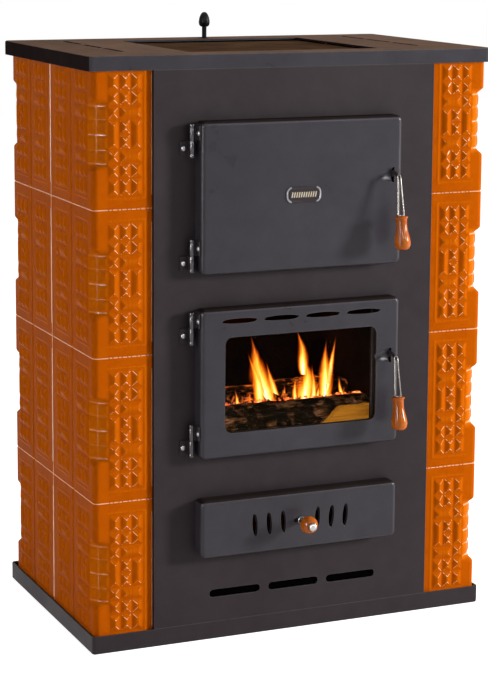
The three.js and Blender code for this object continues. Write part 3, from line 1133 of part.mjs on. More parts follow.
function makeLatch(prefix, doorZ, parent) {
  const pivotZ = leverPivotZ(doorZ);
  const noseY = LEVER_PIVOT_Y + LEVER_NOSE;
  const neckY = LEVER_PIVOT_Y - 2;
  const tipY = FRONT_Y - LEVER_TIP_STANDOFF;
  const lever = outline([
    [noseY, LEVER_NOSE_TOP], [neckY, LEVER_TOP], [DOOR_FRONT_Y - LEVER_SHOULDER, LEVER_TOP],
    [tipY + 2, LEVER_TIP_TOP], [tipY - LEVER_TIP_REACH, 1], [tipY - 1, -LEVER_TIP_FOOT],
    [DOOR_FRONT_Y - LEVER_ELBOW, LEVER_ELBOW_RISE], [neckY, -LEVER_WAIST], [noseY, -LEVER_NOSE_FOOT],
  ].map(([y, z]) => [y, pivotZ + z]));
  const half = LEVER_THICKNESS / 2;
  const blade = alongX(lever, SLIT_X - half, SLIT_X + half);
  const trunnion = alongX(outline(ringPoints(LEVER_PIVOT_R, 8, LEVER_PIVOT_Y, pivotZ)),
    SLIT_X - half - LEVER_EAR_GAP - LEVER_EAR_SHEET, SLIT_X + half + LEVER_EAR_GAP + LEVER_EAR_SHEET);

  // The wire and the grip hang from the tip, along a line that leans forward.
  const lean = new THREE.Matrix4().makeRotationX(-THREE.MathUtils.degToRad(GRIP_LEAN_DEG));
  lean.setPosition(SLIT_X, tipY, pivotZ);
  const wires = [-1, 1].map((side) => {
    const top = [side * WIRE_APEX, 0, 0];
    const bottom = [side * WIRE_SPREAD, 0, -WIRE_LENGTH];
    const ring = ([x, y, z]) => ringPoints(WIRE_R, 6).map(([a, b]) => [x + a, y + b, z]);
    return placed(skinned([ring(bottom), ring(top)]), lean);
  });
  const disc = (radius, low, high) => placed(
    revolved([[0, low], [radius, low], [radius, high], [0, high]], 8), lean);
  const hub = disc(WIRE_SPREAD + WIRE_R, -WIRE_LENGTH - HUB_BELOW, -WIRE_LENGTH + HUB_ABOVE);
  const stub = disc(GRIP_STUB_R, -WIRE_LENGTH - GRIP_STUB_LENGTH, -WIRE_LENGTH);
  addPiece(`${prefix}_latch`, joined([blade, trunnion, ...wires, hub, stub]), blackSteel, parent);

  const gripTop = -WIRE_LENGTH - HUB_BELOW - GAP;
  const boreDepth = GRIP_STUB_LENGTH + GRIP_BORE_SPARE;
  const drawnLength = GRIP_PROFILE.at(-1)[1];
  const profile = [[GRIP_BORE_R, gripTop - boreDepth], [GRIP_BORE_R, gripTop]];
  for (const [r, drop] of GRIP_PROFILE) profile.push([r, gripTop - drop * (GRIP_LENGTH / drawnLength)]);
  profile.push([0, gripTop - GRIP_LENGTH]);
  const turnedIn = [[0, gripTop - boreDepth], ...profile].reverse();
  addPiece(`${prefix}_grip`, placed(revolved(turnedIn, 12), lean), glaze, parent);
}

// ---------------------------------------------------------------- ash drawer
function makeDrawer(parent) {
  const depth = DRAWER_STANDOFF - DOOR_BACK_GAP;
  const shell = frontCup(DRAWER_WIDTH, DRAWER_HEIGHT, depth, DRAWER_FRONT_Y, DRAWER_Z);
  const slotCuts = (y0, y1) => DRAWER_SLOT_X.flatMap((x) => [-1, 1].map((side) => {
    const upright = lensShape(DRAWER_SLOT_HEIGHT, DRAWER_SLOT_WIDTH, 0, 0);
    const turn = THREE.MathUtils.degToRad(90 - side * DRAWER_SLOT_LEAN_DEG);
    const points = upright.getPoints().map((p) => [
      side * x + p.x * Math.cos(turn) - p.y * Math.sin(turn),
      DRAWER_Z + p.x * Math.sin(turn) + p.y * Math.cos(turn),
    ]);
    return alongY(outline(points), y0, y1);
  }));
  const stemRun = 2 * (SHUTTER_RUN + STEM_R + STEM_SLOT_PLAY);
  const stemSlot = alongY(slotShape(stemRun, STEM_SLOT_HEIGHT, 0, DRAWER_Z),
    DRAWER_FRONT_Y - CUT, DRAWER_INNER_Y + CUT);
  const shutterHalf = Math.max(...DRAWER_SLOT_X) + SHUTTER_SIDE_MARGIN;
  const shutterLow = DRAWER_Z - DRAWER_SLOT_HEIGHT / 2 - SHUTTER_EDGE_MARGIN;
  const shutterHigh = DRAWER_Z + DRAWER_SLOT_HEIGHT / 2 + SHUTTER_EDGE_MARGIN;
  const railEnd = shutterHalf + SHUTTER_RUN + SHUTTER_RAIL_SPARE;
  const railBack = PAN_FRONT_Y - GAP + SHUTTER_RAIL_DEPTH;
  const rails = [shutterLow - GAP - SHUTTER_RAIL_HEIGHT, shutterHigh + GAP].map((low) => box(
    -railEnd, railEnd, DRAWER_INNER_Y - WELD, railBack, low, low + SHUTTER_RAIL_HEIGHT));
  const cuts = [...slotCuts(DRAWER_FRONT_Y - CUT, DRAWER_INNER_Y + CUT), stemSlot];
  addPiece('drawer_front', cutBy(joined([shell, ...rails]), cuts), blackSteel, parent);

  const half = PAN_WIDTH / 2;
  const panFrontY = railBack + GAP;
  const pan = box(-half, half, panFrontY, panFrontY + PAN_LENGTH, PAN_BOTTOM, PAN_BOTTOM + PAN_HEIGHT);
  const inner = half - PAN_SHEET;
  const hollow = box(-inner, inner, panFrontY + PAN_SHEET, panFrontY + PAN_LENGTH - PAN_SHEET,
    PAN_BOTTOM + PAN_SHEET, PAN_BOTTOM + PAN_HEIGHT + CUT);
  const mouth = box(-inner, inner, panFrontY - CUT, panFrontY + PAN_SHEET + CUT,
    PAN_BOTTOM + PAN_FRONT_HEIGHT, PAN_BOTTOM + PAN_HEIGHT + CUT);
  const arms = [[-half, -inner], [inner, half]].map(([x0, x1]) => box(
    x0, x1, DRAWER_INNER_Y + GAP, panFrontY + 2 * WELD, PAN_BOTTOM, PAN_BOTTOM + PAN_HEIGHT));
  addPiece('ash_pan', joined([cutBy(pan, [hollow, mouth]), ...arms]), darkSteel, parent);

  const slide = new THREE.Group();
  parent.add(slide);
  const shutterBack = SHUTTER_FRONT_Y + SHUTTER_SHEET;
  const shutter = box(-shutterHalf, shutterHalf, SHUTTER_FRONT_Y, shutterBack, shutterLow, shutterHigh);
  const knobY = FRONT_Y - AIR_KNOB_STANDOFF;
  const reach = AIR_KNOB_R + CAP_REACH;
  const frontwards = axes([1, 0, 0], [0, 0, 1], [0, -1, 0]);
  const along = (profile, segments) => moved(
    placed(revolved(profile, segments), frontwards), 0, knobY, DRAWER_Z);
  const stemRoot = knobY - SHUTTER_FRONT_Y - WELD;
  const stem = along([[0, stemRoot], [STEM_R, stemRoot], [STEM_R, reach], [0, reach]], 8);
  const ferruleRoot = knobY - DRAWER_FRONT_Y + FERRULE_ROOM;
  const ferruleEnd = -AIR_KNOB_R * FERRULE_END;
  const ferrule = along([[0, ferruleRoot], [FERRULE_R, ferruleRoot],
    [FERRULE_WAIST_R, -AIR_KNOB_R - FERRULE_TAPER], [FERRULE_END_R, ferruleEnd], [0, ferruleEnd]], 10);
  const knobEnd = AIR_KNOB_R * AIR_KNOB_FLAT;
  const cap = along([[0, knobEnd + GAP], [CAP_R, knobEnd + GAP], [CAP_RIM_R, reach + CAP_RIM],
    [0, reach + CAP_CROWN]], 10);
  const slotted = cutBy(shutter, slotCuts(SHUTTER_FRONT_Y - CUT, shutterBack + CUT));
  addPiece('air_slide', joined([slotted, stem, ferrule, cap]), brightSteel, slide);

  const knobBore = STEM_R + GAP;
  const knobProfile = [[knobBore, -knobEnd]];
  for (let i = 0; i <= 4; i += 1) {
    const turn = THREE.MathUtils.degToRad(-60 + 30 * i);
    knobProfile.push([AIR_KNOB_R * Math.cos(turn), AIR_KNOB_R * Math.sin(turn)]);
  }
  knobProfile.push([knobBore, knobEnd], [knobBore, -knobEnd]);
  addPiece('air_knob', along(knobProfile, 14), glaze, slide);
}

// ---------------------------------------------------------------- damper
function makeDamper() {
  const plateLow = BODY_TOP_Z + GAP;
  const plate = box(-DAMPER_PLATE_WIDTH / 2, DAMPER_PLATE_WIDTH / 2, DAMPER_Y - DAMPER_PLATE_DEPTH / 2,
    DAMPER_Y + DAMPER_PLATE_DEPTH / 2, plateLow, plateLow + DAMPER_PLATE_SHEET);
  const rodTop = PLATE_TOP_Z + DAMPER_ROD_TOP;
  const rodLow = plateLow + 2 * WELD;
  const tangTop = rodTop + DAMPER_TANG_LENGTH;
  const rod = revolved([[0, rodLow], [DAMPER_ROD_R, rodLow], [DAMPER_ROD_R, rodTop],
    [DAMPER_TANG_R, rodTop], [DAMPER_TANG_R, tangTop], [0, tangTop]], 12);
  addPiece('damper_slide', joined([plate, moved(rod, 0, DAMPER_Y, 0)]), darkSteel);

  const base = rodTop + GAP;
  const boreTop = base + DAMPER_BORE_DEPTH;
  const outside = DAMPER_KNOB_PROFILE.map(([r, h]) => [r * DAMPER_KNOB_R, base + h * DAMPER_KNOB_HEIGHT]);
  const knob = revolved([[0, boreTop], [DAMPER_BORE_R, boreTop], [DAMPER_BORE_R, base], ...outside], 12);
  addPiece('damper_knob', moved(knob, 0, DAMPER_Y, 0), bakelite);
}

// ---------------------------------------------------------------- assembly
makeBaseTray();
makeFrontPanel();
makeTopPlate();
makeHotplate();
makeSideCarrier(-1);
makeSideCarrier(1);
makeBackPanel();
makeFlueCollar();
makeTiles();
makeFireboxBody();
makeFireboxFront();
makeFireboxTop();
makeHearth();
makeSmokeBaffle();

for (const [prefix, doorZ, makeDoor] of [
  ['upper', UPPER_DOOR_Z, makeUpperDoor], ['lower', LOWER_DOOR_Z, makeLowerDoor]]) {
  const door = new THREE.Group();
  group.add(door);
  makeDoor(door);
  for (const [place, bottom] of hingeSpots(doorZ)) {
    panelHinge(`${prefix}_door_${place}_hinge_pin`, bottom);
    doorHinge(`${prefix}_door_${place}_hinge_knuckle`, bottom, door);
  }
  const latch = new THREE.Group();
  door.add(latch);
  makeLatch(prefix, doorZ, latch);
}

const drawer = new THREE.Group();
group.add(drawer);
makeDrawer(drawer);
makeDamper();

export default group;
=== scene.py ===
import math
import random
from contextlib import contextmanager

import bmesh
import bpy
import numpy as np
from mathutils import Matrix, Vector
from mathutils.geometry import delaunay_2d_cdt


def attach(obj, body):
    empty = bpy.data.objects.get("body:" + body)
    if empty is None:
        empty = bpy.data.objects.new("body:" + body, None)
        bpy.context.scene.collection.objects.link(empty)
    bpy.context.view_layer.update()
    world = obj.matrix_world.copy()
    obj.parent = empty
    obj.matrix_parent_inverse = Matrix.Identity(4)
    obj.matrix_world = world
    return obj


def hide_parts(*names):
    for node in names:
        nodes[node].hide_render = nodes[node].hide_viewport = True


# Tiled wood stove. All sizes below are in millimetres unless they say otherwise, in the
# frame of the CAD model: +Z up, the front with its two doors faces -Y.
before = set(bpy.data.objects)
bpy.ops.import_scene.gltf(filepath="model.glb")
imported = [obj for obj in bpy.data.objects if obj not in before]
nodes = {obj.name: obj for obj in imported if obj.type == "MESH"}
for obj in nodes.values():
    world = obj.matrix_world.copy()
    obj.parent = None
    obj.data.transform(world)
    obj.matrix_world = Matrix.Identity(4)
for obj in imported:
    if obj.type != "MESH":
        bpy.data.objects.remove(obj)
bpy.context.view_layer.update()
MM = 0.001
scene = bpy.context.scene

# ------------------------------------------------------------------ measures of the stove
TILE_FACE_X = 362.0
TILE_FRONT_Y = -224.5
TILE_BACK_Y = 207.5
TILE_THICKNESS = 14.0
TILE_SHORT_LEG = 104.0
TILE_LONG_LEG = 214.5
TILE_HEIGHT = 242.4
TILE_PITCH = 245.4
TILE_FIRST_Z = 14.3
FIELD_LINES = [26.0, 46.0, 66.0, 86.0]
ROW_LINES = [21.7, 50.7, 74.7, 96.7, 121.2, 145.7, 167.7, 191.7, 220.7]
GROOVE_D = 108.0
DOOR_WIDTH = 369.4
DOOR_HEIGHT = 255.0
DOOR_FRONT_Y = -256.6
UPPER_DOOR_Z = 763.5
LOWER_DOOR_Z = 450.5
DOOR_LEVELS = (("upper", UPPER_DOOR_Z), ("lower", LOWER_DOOR_Z))
SEAL_Y = -234.3
DRAWER_Z = 202.0
DRAWER_FRONT_Y = -257.5
SLIT_X = 168.0
TOP_SLOT_X = 276.0
HINGE_X = -196.0
HINGE_Y = -242.0


# ------------------------------------------------------------------ meshes
def mesh_object(name, vertices, faces, smooth=True):
    """An object from points in millimetres."""
    data = bpy.data.meshes.new(name)
    data.from_pydata([(x * MM, y * MM, z * MM) for x, y, z in vertices], [], faces)
    data.validate()
    obj = bpy.data.objects.new(name, data)
    scene.collection.objects.link(obj)
    if smooth:
        data.polygons.foreach_set("use_smooth", [True] * len(data.polygons))
    return obj


def join_as(name, objects):
    """One object out of several, all meshes."""
    bpy.ops.object.select_all(action="DESELECT")
    for obj in objects:
        obj.select_set(True)
    bpy.context.view_layer.objects.active = objects[0]
    if len(objects) > 1:
        bpy.ops.object.join()
    objects[0].name = name
    objects[0].data.name = name
    return objects[0]


def apply_modifiers(obj):
    bpy.context.view_layer.update()
    graph = bpy.context.evaluated_depsgraph_get()
    data = bpy.data.meshes.new_from_object(obj.evaluated_get(graph))
    obj.modifiers.clear()
    obj.data = data
    return obj


@contextmanager
def edited(data):
    """A mesh opened for bmesh operations and written back after them."""
    work = bmesh.new()
    work.from_mesh(data)
    yield work
    work.to_mesh(data)
    work.free()


def mark_sharp(data, degrees):
    """Marks the sharp edges, so that the faces on either side of a fold stay apart."""
    limit = math.radians(degrees)
    with edited(data) as work:
        for edge in work.edges:
            edge.smooth = len(edge.link_faces) == 2 and edge.calc_face_angle(0.0) < limit
        for face in work.faces:
            face.smooth = True


def smooth_by_angle(obj, degrees):
    mark_sharp(obj.data, degrees)
    return obj


def bevelled(obj, width, segments=2, degrees=30):
    """Breaks the sharp edges, and keeps the flat faces flat to the light."""
    smooth_by_angle(obj, 32)
    modifier = obj.modifiers.new("Bevel", "BEVEL")
    modifier.width = width * MM
    modifier.segments = segments
    modifier.limit_method = "ANGLE"
    modifier.angle_limit = math.radians(degrees)
    modifier.use_clamp_overlap = True
    return weighted(obj)


def weighted(obj):
    apply_modifiers(obj)
    smooth_by_angle(obj, 60)
    normals = obj.modifiers.new("Normals", "WEIGHTED_NORMAL")
    normals.keep_sharp = True
    normals.weight = 80
    return apply_modifiers(obj)


def copied(node, name):
    """A free copy of a CAD node's mesh, with its coplanar triangles joined."""
    source = nodes[node]
    obj = bpy.data.objects.new(name, source.data.copy())
    scene.collection.objects.link(obj)
    obj.data.materials.clear()
    with edited(obj.data) as work:
        bmesh.ops.remove_doubles(work, verts=work.verts, dist=1e-5)
        bmesh.ops.dissolve_limit(work, angle_limit=math.radians(0.6), verts=work.verts, edges=work.edges)
    return obj


def coated(obj, material):
    obj.data.materials.clear()
    obj.data.materials.append(material)
    return obj


def placed_on(obj, body, slot, *replaced):
    """Ties a piece to its body, in the place of CAD nodes or beside them. Its slot is not used."""
    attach(obj, body)
    if replaced:
        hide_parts(*replaced)
    return obj


def finish_piece(obj, body, material, slot, *replaced):
    return placed_on(coated(obj, material), body, slot, *replaced)


def dressed(node, name, body, material, slot, width=0.8, segments=2):
    """A CAD shape with its edges broken."""
    return finish_piece(bevelled(copied(node, name), width, segments), body, material, slot, node)


def revolve_points(profile, sides):
    """Points and faces of a profile of (radius, height) turned about Z. A radius of 0 closes it."""
    points, faces, rings = [], [], []
    for radius, height in profile:
        if radius <= 1e-6:
            rings.append([len(points)])
            points.append((0.0, 0.0, height))
            continue
        rings.append(list(range(len(points), len(points) + sides)))
        for i in range(sides):
            turn = 2 * math.pi * i / sides
            points.append((radius * math.cos(turn), radius * math.sin(turn), height))
    for low, high in zip(rings, rings[1:]):
        for i in range(sides):
            j = (i + 1) % sides
            if len(low) == 1 and len(high) == 1:
                continue
            if len(low) == 1:
                faces.append((low[0], high[j], high[i]))
            elif len(high) == 1:
                faces.append((low[i], low[j], high[0]))
            else:
                faces.append((low[i], low[j], high[j], high[i]))
    return points, faces


def lathe(name, profile, sides=40, matrix=None):
    """matrix places the piece and has its translation in millimetres."""
    points, faces = revolve_points(profile, sides)
    if matrix is not None:
        points = [tuple(matrix @ Vector(p)) for p in points]
    return smooth_by_angle(recalc(mesh_object(name, points, faces)), 40)


def recalc(obj):
    with edited(obj.data) as work:
        bmesh.ops.recalc_face_normals(work, faces=work.faces)
    return obj


def ring_faces(rings, sides, closed=False):
    """Faces between rings of points in a row, with an end face on each side unless they close a circle."""
    faces = []
    for i in range(rings if closed else rings - 1):
        j = (i + 1) % rings
        for k in range(sides):
            m = (k + 1) % sides
            faces.append((i * sides + k, i * sides + m, j * sides + m, j * sides + k))
    if not closed:
        faces.append(tuple(reversed(range(sides))))
        faces.append(tuple((rings - 1) * sides + k for k in range(sides)))
    return faces


def tube(name, path, radius, sides=12, closed=False):
    """A round tube along a path in millimetres."""
    path = [Vector(p) for p in path]
    count = len(path)
    points = []
    previous = None
    for i, point in enumerate(path):
        before = path[i - 1] if closed or i > 0 else point
        after = path[(i + 1) % count] if closed or i + 1 < count else point
        along = (after - before).normalized()
        side = previous if previous is not None else along.orthogonal().normalized()
        side = (side - along * side.dot(along)).normalized()
        previous = side
        other = along.cross(side)
        for k in range(sides):
            turn = 2 * math.pi * k / sides
            points.append(point + side * (radius * math.cos(turn)) + other * (radius * math.sin(turn)))
    obj = mesh_object(name, [tuple(p) for p in points], ring_faces(count, sides, closed))
    return smooth_by_angle(recalc(obj), 50)


def rounded(width, height, radius, segments, a0=0.0, b0=0.0):
    """A rounded rectangle as points (a, b), anticlockwise."""
    points = []
    radius = max(radius, 0.01)
    for sa, sb, start in ((1, -1, -90), (1, 1, 0), (-1, 1, 90), (-1, -1, 180)):
        for i in range(segments + 1):
            turn = math.radians(start + 90 * i / segments)
            points.append((a0 + sa * (width / 2 - radius) + radius * math.cos(turn),
                           b0 + sb * (height / 2 - radius) + radius * math.sin(turn)))
    return points


# ------------------------------------------------------------------ materials
def new_material(name):
    material = bpy.data.materials.new(name)
    material.use_nodes = True
    tree = material.node_tree
    return material, tree, tree.nodes["Principled BSDF"]


def add(tree, kind, **values):
    """A node with its attributes and the constant values of its inputs."""
    node = tree.nodes.new(kind)
    for key, value in values.items():
        if key.startswith("in_"):
            put(node, **{key[3:]: value})
        else:
            setattr(node, key, value)
    return node


def ramp(tree, source, stops):
    node = tree.nodes.new("ShaderNodeValToRGB")
    while len(node.color_ramp.elements) < len(stops):
        node.color_ramp.elements.new(0.5)
    for element, (place, colour) in zip(node.color_ramp.elements, stops):
        element.position = place
        element.color = colour if len(colour) == 4 else (*colour, 1.0)
    tree.links.new(source, node.inputs[0])
    return node.outputs[0]


def grey(value):
    return (value, value, value, 1.0)


def put(shader, **values):
    """Sets inputs of a node to constants or from sockets. Their names have _ for each space."""
    for key, value in values.items():
        socket = shader.inputs[key.replace("_", " ")]
        if isinstance(value, bpy.types.NodeSocket):
            shader.id_data.links.new(value, socket)
        else:
            socket.default_value = value


def math_node(tree, operation, a, b=None, clamp=False):
    node = tree.nodes.new("ShaderNodeMath")
    node.operation = operation
    node.use_clamp = clamp
    for i, value in enumerate((a, b)):
        if value is None:
            continue
        if isinstance(value, (int, float)):
            node.inputs[i].default_value = value
        else:
            tree.links.new(value, node.inputs[i])
    return node.outputs[0]


def mixed(tree, factor, a, b, blend="MIX"):
    """Mix of two colours. Each of the three is a socket or a constant."""
    node = tree.nodes.new("ShaderNodeMix")
    node.data_type = "RGBA"
    node.blend_type = blend
    for socket, value in ((node.inputs[0], factor), (node.inputs[6], a), (node.inputs[7], b)):
        if isinstance(value, (int, float)):
            socket.default_value = value
        elif isinstance(value, (tuple, list)):
            socket.default_value = value if len(value) == 4 else (*value, 1.0)
        else:
            tree.links.new(value, socket)
    return node.outputs[2]


def new_group(name, inputs, outputs):
    tree = bpy.data.node_groups.new(name, "ShaderNodeTree")
    for label, kind, value in inputs:
        socket = tree.interface.new_socket(label, in_out="INPUT", socket_type=kind)
        if value is not None:
            socket.default_value = value
    for label, kind in outputs:
        tree.interface.new_socket(label, in_out="OUTPUT", socket_type=kind)
    return tree, tree.nodes.new("NodeGroupInput"), tree.nodes.new("NodeGroupOutput")


def noise(tree, vector, scale, detail=4.0, roughness=0.55, distortion=0.0):
    node = tree.nodes.new("ShaderNodeTexNoise")
    put(node, Vector=vector, Scale=scale, Detail=detail, Roughness=roughness, Distortion=distortion)
    return node.outputs[0]


def position(tree):
    """The point itself in the object's own frame, which is the CAD frame at rest."""
    return tree.nodes.new("ShaderNodeTexCoord").outputs["Object"]


def scaled(tree, vector, factors):
    node = tree.nodes.new("ShaderNodeVectorMath")
    node.operation = "MULTIPLY"
    tree.links.new(vector, node.inputs[0])
    node.inputs[1].default_value = factors
    return node.outputs[0]


def make_wear_group():
    """Mask of worn edges: where a rounded normal departs from the face's own."""
    tree, entry, out = new_group("edge wear", [("Radius", "NodeSocketFloat", 0.0015)],
                                 [("Mask", "NodeSocketFloat")])
    bevel = tree.nodes.new("ShaderNodeBevel")
    bevel.samples = 4
    tree.links.new(entry.outputs["Radius"], bevel.inputs["Radius"])
    geometry = tree.nodes.new("ShaderNodeNewGeometry")
    dot = tree.nodes.new("ShaderNodeVectorMath")
    dot.operation = "DOT_PRODUCT"
    tree.links.new(bevel.outputs[0], dot.inputs[0])
    tree.links.new(geometry.outputs["Normal"], dot.inputs[1])
    bend = math_node(tree, "SUBTRACT", 1.0, dot.outputs["Value"], clamp=True)
    patch = noise(tree, position(tree), 60.0, 5.0, 0.6)
    strong = math_node(tree, "MULTIPLY", bend, math_node(tree, "MULTIPLY", patch, 9.0))
    tree.links.new(math_node(tree, "SUBTRACT", strong, 0.25, clamp=True), out.inputs["Mask"])
    return tree


def make_grain_group():
    """Fine grain of a sprayed finish: a height for Bump and a mottle between 0 and 1."""
    tree, entry, out = new_group(
        "sprayed grain", [("Scale", "NodeSocketFloat", 900.0)],
        [("Height", "NodeSocketFloat"), ("Mottle", "NodeSocketFloat")])
    where = position(tree)
    fine = noise(tree, where, entry.outputs["Scale"], 3.0, 0.6)
    broad = noise(tree, where, 34.0, 5.0, 0.6)
    cloud = noise(tree, where, 5.0, 3.0, 0.5, 0.4)
    tree.links.new(math_node(tree, "ADD", fine, math_node(tree, "MULTIPLY", broad, 0.7)),
                   out.inputs["Height"])
    both = math_node(tree, "MULTIPLY", math_node(tree, "ADD", broad, cloud), 0.5)
    tree.links.new(both, out.inputs["Mottle"])
    return tree


def make_dust_group():
    """Mask of dust that lies in patches on what faces up."""
    tree, entry, out = new_group("dust", [("Amount", "NodeSocketFloat", 0.5)], [("Mask", "NodeSocketFloat")])
    geometry = tree.nodes.new("ShaderNodeNewGeometry")
    parts = tree.nodes.new("ShaderNodeSeparateXYZ")
    tree.links.new(geometry.outputs["Normal"], parts.inputs[0])
    up = math_node(tree, "POWER", math_node(tree, "MAXIMUM", parts.outputs[2], 0.0), 3.0)
    patch = noise(tree, position(tree), 24.0, 7.0, 0.68)
    spread = math_node(tree, "MULTIPLY", up, patch)
    tree.links.new(math_node(tree, "MULTIPLY", spread, entry.outputs["Amount"]), out.inputs["Mask"])
    return tree


WEAR = make_wear_group()
GRAIN = make_grain_group()
DUST = make_dust_group()


def use_group(tree, group, **values):
    node = tree.nodes.new("ShaderNodeGroup")
    node.node_tree = group
    put(node, **values)
    return node


def bump(tree, shader, height, distance, strength=1.0):
    node = tree.nodes.new("ShaderNodeBump")
    put(node, Strength=strength, Distance=distance, Height=height)
    put(shader, Normal=node.outputs[0])


DUST_COLOUR = (0.20, 0.185, 0.17)


def painted_steel(name, dark, light, rough=(0.42, 0.6), worn=(0.16, 0.15, 0.145), dust=0.25,
                  specular=0.35, metallic=0.0, grain=900.0, wear_radius=0.0016):
    """Stove enamel: two shades mixed by cloud and mottle, rubbed edges and dust on top."""
    material, tree, shader = new_material(name)
    surface = use_group(tree, GRAIN, Scale=grain)
    shade = ramp(tree, surface.outputs["Mottle"], [(0.30, dark), (0.70, light)])
    wear = use_group(tree, WEAR, Radius=wear_radius)
    shade = mixed(tree, math_node(tree, "MULTIPLY", wear.outputs[0], 0.55), shade, worn)
    dusty = use_group(tree, DUST, Amount=dust)
    shade = mixed(tree, dusty.outputs[0], shade, DUST_COLOUR)
    put(shader, Base_Color=shade)
    roughness = ramp(tree, surface.outputs["Mottle"], [(0.3, grey(rough[0])), (0.7, grey(rough[1]))])
    put(shader, Roughness=roughness, Metallic=metallic, Specular_IOR_Level=specular)
    bump(tree, shader, surface.outputs["Height"], 0.00016)
    return material


def glazed(name, deep, mid, bright, thin, ior=1.03, rough=(0.16, 0.24)):
    """Transparent glaze over clay: dark where it pools in sunk places, and pale where it is thin. The pale end
    of its ramp also draws the painted highlights and painted light carried in the relief attribute.
    """
    material, tree, shader = new_material(name)
    where = position(tree)
    relief = add(tree, "ShaderNodeAttribute", attribute_name="relief").outputs["Fac"]
    cloud = noise(tree, where, 7.0, 4.0, 0.55, 0.3)
    fine = noise(tree, where, 55.0, 5.0, 0.6)
    tone = math_node(tree, "ADD", math_node(tree, "MULTIPLY", relief, 0.60),
                     math_node(tree, "MULTIPLY", math_node(tree, "ADD", cloud, fine), 0.19))
    shade = ramp(tree, tone, [(0.18, deep), (0.50, mid), (0.82, bright), (0.90, bright), (0.98, thin)])
    spots = noise(tree, where, 420.0, 2.0, 0.5)
    speck = ramp(tree, spots, [(0.70, grey(0.0)), (0.78, grey(1.0))])
    shade = mixed(tree, math_node(tree, "MULTIPLY", speck, 0.25), shade, deep)
    put(shader, Base_Color=shade)
    put(shader, Roughness=ramp(tree, fine, [(0.3, grey(rough[0])), (0.7, grey(rough[1]))]))
    put(shader, IOR=ior, Coat_Weight=ramp(tree, tone, [(0.84, grey(0.0)), (0.94, grey(1.0))]))
    put(shader, Coat_Roughness=0.18)
    waves = noise(tree, where, 46.0, 3.0, 0.5)
    swell = noise(tree, where, 210.0, 2.0, 0.5)
    height = math_node(tree, "ADD", waves, math_node(tree, "MULTIPLY", swell, 0.18))
    bump(tree, shader, height, 0.0011, 0.55)
    return material


BLACK = painted_steel("charcoal enamel", (0.022, 0.016, 0.018), (0.034, 0.026, 0.029), specular=0.10)
DOOR_BLACK = painted_steel("charcoal enamel on the doors", (0.025, 0.022, 0.027), (0.039, 0.035, 0.043),
                           rough=(0.26, 0.34), wear_radius=0.002, dust=0.08, specular=0.18)
# The top faces of the top plate: brown-grey enamel, painted lighter than its flanges as a painted sheen of the
# grazing reflection that the top shows.
TOP_BROWN_AND_SHEEN = painted_steel("brown-grey plate enamel with painted sheen", (0.130, 0.076, 0.052), (0.215, 0.128, 0.090),
                          rough=(0.5, 0.65), dust=0.15, specular=0.0)
DARK = painted_steel("matt heat paint", (0.014, 0.014, 0.015), (0.026, 0.025, 0.025),
                     rough=(0.55, 0.75), dust=0.2, specular=0.2)
# Soot black, darkened further as painted shade inside the closed firebox and behind the vents.
SOOT_AND_SHADE = painted_steel("sooty steel with painted shade", (0.004, 0.004, 0.004), (0.010, 0.009, 0.009), rough=(0.65, 0.85),
                      worn=(0.03, 0.028, 0.026), dust=0.05, specular=0.08)
# A near-black copy of the steel: painted shade, put where only darkness shows.
SHADE = painted_steel("unlit steel", (0.0006, 0.0006, 0.0006), (0.0014, 0.0013, 0.0013), rough=(0.8, 0.95),
                      worn=(0.003, 0.003, 0.003), dust=0.0, specular=0.0)
# A darker copy of the enamel without sheen: painted shade on the side faces of the top plate and on the top
# faces of the doors and drawer.
FLANK_PAINTED_SHADE = painted_steel("enamel darkened as painted shade", (0.016, 0.010, 0.010), (0.026, 0.018, 0.017),
                      dust=0.05, specular=0.0)
GLAZE = glazed("burnt orange glaze", (0.20, 0.028, 0.0005), (0.48, 0.088, 0.001), (0.60, 0.136, 0.002),
               (0.95, 0.60, 0.36))
GRIP_GLAZE = glazed("red-brown glaze of the grips", (0.10, 0.014, 0.001), (0.41, 0.084, 0.002),
                    (0.52, 0.122, 0.003), (0.55, 0.18, 0.03), ior=1.27, rough=(0.11, 0.15))


def cast_iron():
    material, tree, shader = new_material("cast iron")
    where = position(tree)
    pits = noise(tree, where, 420.0, 4.0, 0.7)
    broad = noise(tree, where, 14.0, 5.0, 0.6)
    shade = ramp(tree, broad, [(0.3, (0.052, 0.028, 0.015)), (0.72, (0.104, 0.058, 0.033))])
    put(shader, Base_Color=shade, Roughness=ramp(tree, broad, [(0.3, grey(0.55)), (0.7, grey(0.72))]))
    put(shader, Specular_IOR_Level=0.0)
    bump(tree, shader, pits, 0.0003)
    return material


def fired_clay():
    material, tree, shader = new_material("sooty fired clay with painted shade")
    where = position(tree)
    clay = noise(tree, where, 18.0, 8.0, 0.65)
    soot = noise(tree, where, 6.0, 6.0, 0.6, 0.5)
    # Firebrick darkened by soot, and further as painted shade inside the closed firebox.
    base = ramp(tree, clay, [(0.3, (0.0210, 0.0075, 0.0030)), (0.7, (0.0480, 0.0198, 0.0081))])
    dark = ramp(tree, soot, [(0.38, grey(0.97)), (0.74, grey(0.55))])
    shade = mixed(tree, dark, base, (0.0018, 0.0012, 0.0009))
    put(shader, Base_Color=shade, Roughness=0.92)
    grains = noise(tree, where, 300.0, 6.0, 0.7)
    put(shader, Specular_IOR_Level=0.0)
    bump(tree, shader, math_node(tree, "ADD", grains, clay), 0.0005)
    return material


def polished(name, colour, roughness=0.13, scratch=0.05):
    material, tree, shader = new_material(name)
    where = position(tree)
    streak = noise(tree, scaled(tree, where, (900.0, 60.0, 60.0)), 1.0, 3.0, 0.6)
    put(shader, Roughness=ramp(tree, streak, [(0.3, grey(roughness)), (0.7, grey(roughness + scratch * 3))]))
    tint = noise(tree, where, 130.0, 3.0, 0.5)
    put(shader, Base_Color=ramp(tree, tint, [(0.2, tuple(c * 0.86 for c in colour)), (0.8, colour)]))
    put(shader, Metallic=1.0)
    bump(tree, shader, streak, 0.00004)
    return material


